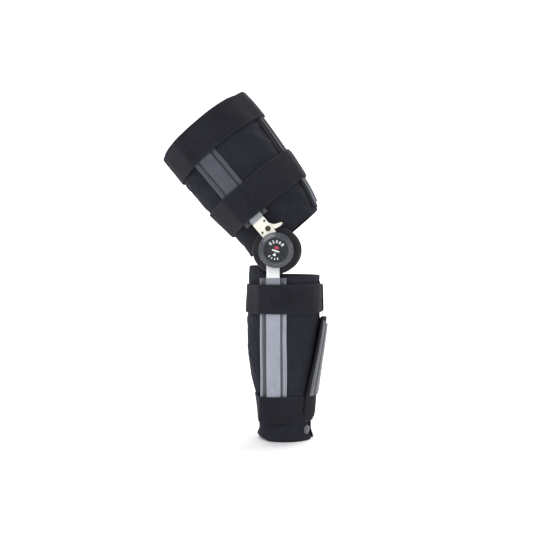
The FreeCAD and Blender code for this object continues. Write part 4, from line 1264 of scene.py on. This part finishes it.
build_flap(THIGH, low=13.0, high=222.0, off=2.2, half_width=27.0, seed=61)
build_strip(THIGH, low=20.0, high=214.0, off=2.2 + 0.45, seed=61 + 9,
            material="vinyl_front_thigh")
build_flap(CALF, low=-258.0, high=-106.0, off=6.6, half_width=24.0, seed=67)
build_strip(CALF, low=-228.0, high=-110.0, off=6.6 + 0.42, seed=67 + 9,
            material="vinyl_front")


# ------------------------------------------------------------------ snap at the foot end
SNAP_Z = -281.5
SNAP_ANGLE = math.radians(-36.0)     # from +X towards the outer side
# (radius, height off the sleeve)
PATCH_PROFILE = [
    (0.0, 0.9), (6.4, 0.9), (6.9, 1.1), (7.15, 1.6), (7.0, 2.15), (6.5, 2.5), (5.8, 2.6),
    (5.2, 2.35), (4.8, 2.45), (0.0, 2.55)]
CAP_PROFILE = [
    (0.0, 2.6), (4.2, 2.6), (4.45, 2.9), (4.5, 3.3), (4.3, 3.75), (3.8, 4.0), (3.3, 3.95),
    (2.9, 3.6), (2.6, 3.55), (2.2, 3.9), (1.7, 4.35), (1.0, 4.6), (0.0, 4.7)]


def build_snap():
    centre, radius_x, radius_y = CALF.section(SNAP_Z)
    c, s = math.cos(SNAP_ANGLE), math.sin(SNAP_ANGLE)
    normal = Vector((c / radius_x, s / radius_y, 0)).normalized()
    turn = normal.to_track_quat("Z", "Y").to_matrix()
    spot = Vector((centre + radius_x * c, radius_y * s, SNAP_Z)) * MM
    placing = Matrix.Translation(spot) @ turn.to_4x4()
    patch = revolve("ankle_snap_patch_vinyl", PATCH_PROFILE, 56, MATERIALS["vinyl_obj"], placing)
    register(patch, "grey_vinyl", "shank", "ankle_snap_patch")
    cap = revolve("ankle_snap_metal", CAP_PROFILE, 48, MATERIALS["snap_metal"], placing)
    register(cap, "steel", "shank", "ankle_snap_cap")

    stitches = []
    for k in range(14):
        a = 2 * math.pi * k / 14
        place = placing @ Vector((5.25e-3 * math.cos(a), 5.25e-3 * math.sin(a), 2.42e-3))
        along = turn @ Vector((-math.sin(a), math.cos(a), 0))
        stitches.append((list(place), list(along), list(normal)))
    seam = Seam()
    seam.add(*(np.array(part) for part in zip(*stitches)))
    stitching = seam.build("ankle_patch_stitching", MATERIALS["thread_grey"],
                           length=1.7, radius=0.22, lift=0.12)
    register(stitching, "grey_vinyl", "shank")


build_snap()

# ------------------------------------------------------------------ hard parts kept from CAD
CAD_MATERIALS = {
    "condyle_pad": "foam", "backing_disc": "disc_black", "lower_arm": "alloy",
    "upper_arm": "alloy_dull", "friction_washer": "nylon", "pivot_bush": "bronze",
    "pivot_bolt": "steel", "lock_disc": "steel", "stop_pin": "steel",
    "hinge_cap": "cap_black", "dial_ring": "ring_grey", "cap_label": "label",
    "lock_bolt": "steel", "lock_lever": "cream", "lever_screw": "screw_dark",
    "lock_cover": "cream", "cover_rivets": "rivet_dark", "lever_spring": "steel",
    "thigh_upper_loop": "buckle", "thigh_lower_loop": "buckle",
    "calf_upper_loop": "buckle", "calf_lower_loop": "buckle",
}
for node_name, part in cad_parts.items():
    key = node_name[4:] if node_name[:4] in ("lat_", "med_") else node_name
    if key in CAD_MATERIALS:
        part.data.materials.clear()
        part.data.materials.append(MATERIALS[CAD_MATERIALS[key]])

# ------------------------------------------------------------------ printed dial faces
DIAL_TURN = math.radians(18.0)
PRINT_DEPTH = 0.16
NUMBER_RADIUS, NUMBER_SIZE = 12.7, 6.4
FIRST_NUMBER, NUMBER_PITCH = -58, 23     # degrees clockwise from the dial's top
TICK_RADIUS = 13.4


def rounded_bar(x, z, width, height, angle=0.0, corner=0.35):
    outline = []
    for side_x, side_z, start in ((1, 1, 0), (-1, 1, 90), (-1, -1, 180), (1, -1, 270)):
        for k in range(5):
            a = math.radians(start + 22.5 * k)
            outline.append((side_x * (width / 2 - corner) + corner * math.cos(a),
                            side_z * (height / 2 - corner) + corner * math.sin(a)))
    c, s = math.cos(angle), math.sin(angle)
    return [(x + u * c - v * s, z + u * s + v * c) for u, v in outline]


def ellipse(x, z, radius_x, radius_z, n=36):
    turns = [2 * math.pi * k / n for k in range(n)]
    return [(x + radius_x * math.cos(a), z + radius_z * math.sin(a)) for a in turns]


def arc_band(x, z, radius, width, start, end, n):
    """Outline of an arc band; angles in degrees clockwise from straight up."""
    def edge(r, a, b):
        turns = [math.radians(a + (b - a) * k / n) for k in range(n + 1)]
        return [(x + r * math.sin(t), z + r * math.cos(t)) for t in turns]

    return edge(radius + width / 2, start, end) + edge(radius - width / 2, end, start)


def print_shapes(name, outlines, face_y, side, material):
    """Thin prints on a dial. outlines: (x, z) in mm, upright, as seen from outside."""
    # the inner side's face is turned the other way round, so that it reads from outside
    c, s = math.cos(DIAL_TURN), math.sin(-side * DIAL_TURN)
    verts, faces = [], []
    for outline in outlines:
        b, n = len(verts), len(outline)
        for lift in (0.0, PRINT_DEPTH):
            for x, z in outline:
                x = -side * x
                verts.append(((x * c + z * s) * MM, face_y + side * lift * MM,
                              (-x * s + z * c) * MM))
        faces.append(tuple(range(b, b + n)))
        faces.append(tuple(range(b + n, b + 2 * n))[::-1])
        for k in range(n):
            after = (k + 1) % n
            faces.append((b + k, b + n + k, b + n + after, b + after))
    piece = new_object(name, verts, faces, None, material, smooth=False)
    face_outward(piece.data)
    register(piece, "label", "shank")


def print_number(name, text, degrees, face_y, side):
    """One dial number as a thin mesh, upright towards the rim."""
    curve = bpy.data.curves.new(name, "FONT")
    curve.body = text
    curve.size = NUMBER_SIZE * MM
    curve.align_x, curve.align_y = "CENTER", "CENTER"
    curve.extrude = 0.00008
    curve.offset = 0.00010
    draft = bpy.data.objects.new(name + "_tmp", curve)
    bpy.context.scene.collection.objects.link(draft)
    bpy.context.view_layer.update()
    depsgraph = bpy.context.evaluated_depsgraph_get()
    mesh = bpy.data.meshes.new_from_object(draft.evaluated_get(depsgraph))
    bpy.data.objects.remove(draft, do_unlink=True)
    # text lies in XY facing +Z: stand it up to face outward, then turn it round the dial
    a = math.radians(degrees) + DIAL_TURN
    mesh.transform(Matrix(((-side, 0, 0, 0), (0, 0, side, 0), (0, 1, 0, 0), (0, 0, 0, 1))))
    mesh.transform(Matrix.Rotation(-side * a, 4, "Y"))
    mesh.transform(Matrix.Translation((-side * NUMBER_RADIUS * math.sin(a) * MM,
                                       face_y + side * 0.00008,
                                       NUMBER_RADIUS * math.cos(a) * MM)))
    mesh.materials.clear()
    mesh.materials.append(MATERIALS["print_white"])
    piece = bpy.data.objects.new(name, mesh)
    bpy.context.scene.collection.objects.link(piece)
    register(piece, "label", "shank")


def build_dial(side_name, side):
    low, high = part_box(side_name + "_cap_label")
    face_y = float(low.y if side < 0 else high.y)
    marks = [rounded_bar(0.0, -1.1, 11.4, 1.75)]
    for degrees, length in ((150, 3.6), (170, 2.6), (190, 2.6), (210, 3.6)):
        a = math.radians(degrees)
        marks.append(rounded_bar(TICK_RADIUS * math.sin(a), TICK_RADIUS * math.cos(a),
                                 1.2, length, -a, 0.3))
    # small open padlock below the bar
    marks.append(rounded_bar(0.0, -7.5, 4.0, 2.7, corner=0.5))
    marks.append(arc_band(0.55, -5.6, radius=1.25, width=0.62, start=-95, end=60, n=18))
    print_shapes(side_name + "_dial_marks", marks, face_y, side, MATERIALS["print_white"])
    print_shapes(side_name + "_dial_dot", [ellipse(0.0, 3.8, 3.6, 2.6)], face_y, side,
                 MATERIALS["print_red"])
    for k in range(5):
        print_number(f"{side_name}_dial_number_{k}", str(2 * k),
                     FIRST_NUMBER + NUMBER_PITCH * k, face_y, side)


for side_name, side in SIDES.items():
    build_dial(side_name, side)

# ------------------------------------------------------------------ floor, light, camera (metres)
FLOOR_Z = -0.2985
SWEEP_Y, SWEEP_RADIUS = 1.4, 0.9     # where the floor starts to curve up, and how tightly
WALL_Y = SWEEP_Y + SWEEP_RADIUS


def build_floor():
    """Floor that curves up into a wall behind the brace."""
    profile = [(-3.2, 0.0), (-1.0, 0.0), (0.5, 0.0), (SWEEP_Y, 0.0)]
    profile += [(SWEEP_Y + SWEEP_RADIUS * math.sin(a), SWEEP_RADIUS * (1 - math.cos(a)))
                for a in np.linspace(0.15, math.pi / 2, 9)]
    profile += [(WALL_Y, 2.0), (WALL_Y, 4.5)]
    verts = [(-4.0 + k, y, FLOOR_Z + z) for y, z in profile for k in range(9)]
    mat = NodeMaterial("floor_pale", flat=False)
    where = mat.coords()
    tone = mat.ramp(mat.noise(where, scale=0.004, detail=3), (0.3, 0.7))
    grain = mat.noise(where, scale=0.6, detail=3)
    material = mat.surface({
        "Base Color": mat.mix(tone, (0.90, 0.90, 0.905), (0.93, 0.93, 0.93)),
        "Roughness": 0.75, "Specular IOR Level": 0.2,
        "Normal": mat.bump([(grain, 0.05, 0.2)])})
    new_object("floor", verts, grid_faces(len(profile), 9), None, material)


def area_light(name, at, aim, size, watts):
    light = bpy.data.lights.new(name, "AREA")
    light.shape = "RECTANGLE"
    light.size, light.size_y = size
    light.energy = watts
    lamp = bpy.data.objects.new(name, light)
    lamp.location = at
    lamp.rotation_mode = "QUATERNION"
    lamp.rotation_quaternion = (Vector(aim) - Vector(at)).to_track_quat("-Z", "Y")
    bpy.context.scene.collection.objects.link(lamp)


def build_world():
    world = bpy.data.worlds.new("studio")
    bpy.context.scene.world = world
    world.use_nodes = True
    background = world.node_tree.nodes["Background"]
    background.inputs["Color"].default_value = (1.0, 1.0, 1.0, 1.0)
    background.inputs["Strength"].default_value = 0.52


CAMERA_AZIMUTH = math.radians(2.5)   # from straight outside (-Y) towards the front
CAMERA_DISTANCE = 1.45
VIEW_WIDTH = 0.8704                  # width seen at the hinge
VIEW_SHIFT = (-0.00992, -0.03488)    # view centre from the hinge, right and up


def build_camera():
    data = bpy.data.cameras.new("camera")
    camera = bpy.data.objects.new("camera", data)
    bpy.context.scene.collection.objects.link(camera)
    data.sensor_width = 36.0
    data.lens = 36.0 * CAMERA_DISTANCE / VIEW_WIDTH
    data.shift_x = VIEW_SHIFT[0] / VIEW_WIDTH
    data.shift_y = VIEW_SHIFT[1] / VIEW_WIDTH
    camera.location = (CAMERA_DISTANCE * math.sin(CAMERA_AZIMUTH),
                       -CAMERA_DISTANCE * math.cos(CAMERA_AZIMUTH), 0.0)
    camera.rotation_mode = "QUATERNION"
    camera.rotation_quaternion = (-Vector(camera.location)).to_track_quat("-Z", "Y")
    data.clip_start, data.clip_end = 0.05, 20.0
    bpy.context.scene.camera = camera


build_floor()
build_world()
area_light("key", at=(-0.9, -2.1, 1.5), aim=(0, 0, -0.05), size=(1.4, 1.4), watts=30)
area_light("fill", at=(1.6, -1.7, 0.5), aim=(0, 0, -0.05), size=(1.2, 1.6), watts=16)
area_light("strip_low", at=(-1.5, -1.1, -0.05), aim=(0, 0, -0.1), size=(0.35, 1.6), watts=10)
area_light("rim", at=(1.1, 1.2, 1.3), aim=(0, 0, 0), size=(1.2, 1.2), watts=18)
area_light("backdrop", at=(0, 1.0, 2.4), aim=(0, 2.2, 0.2), size=(3.5, 1.0), watts=75)
build_camera()
bpy.context.scene.view_settings.view_transform = "Standard"

bpy.context.view_layer.update()
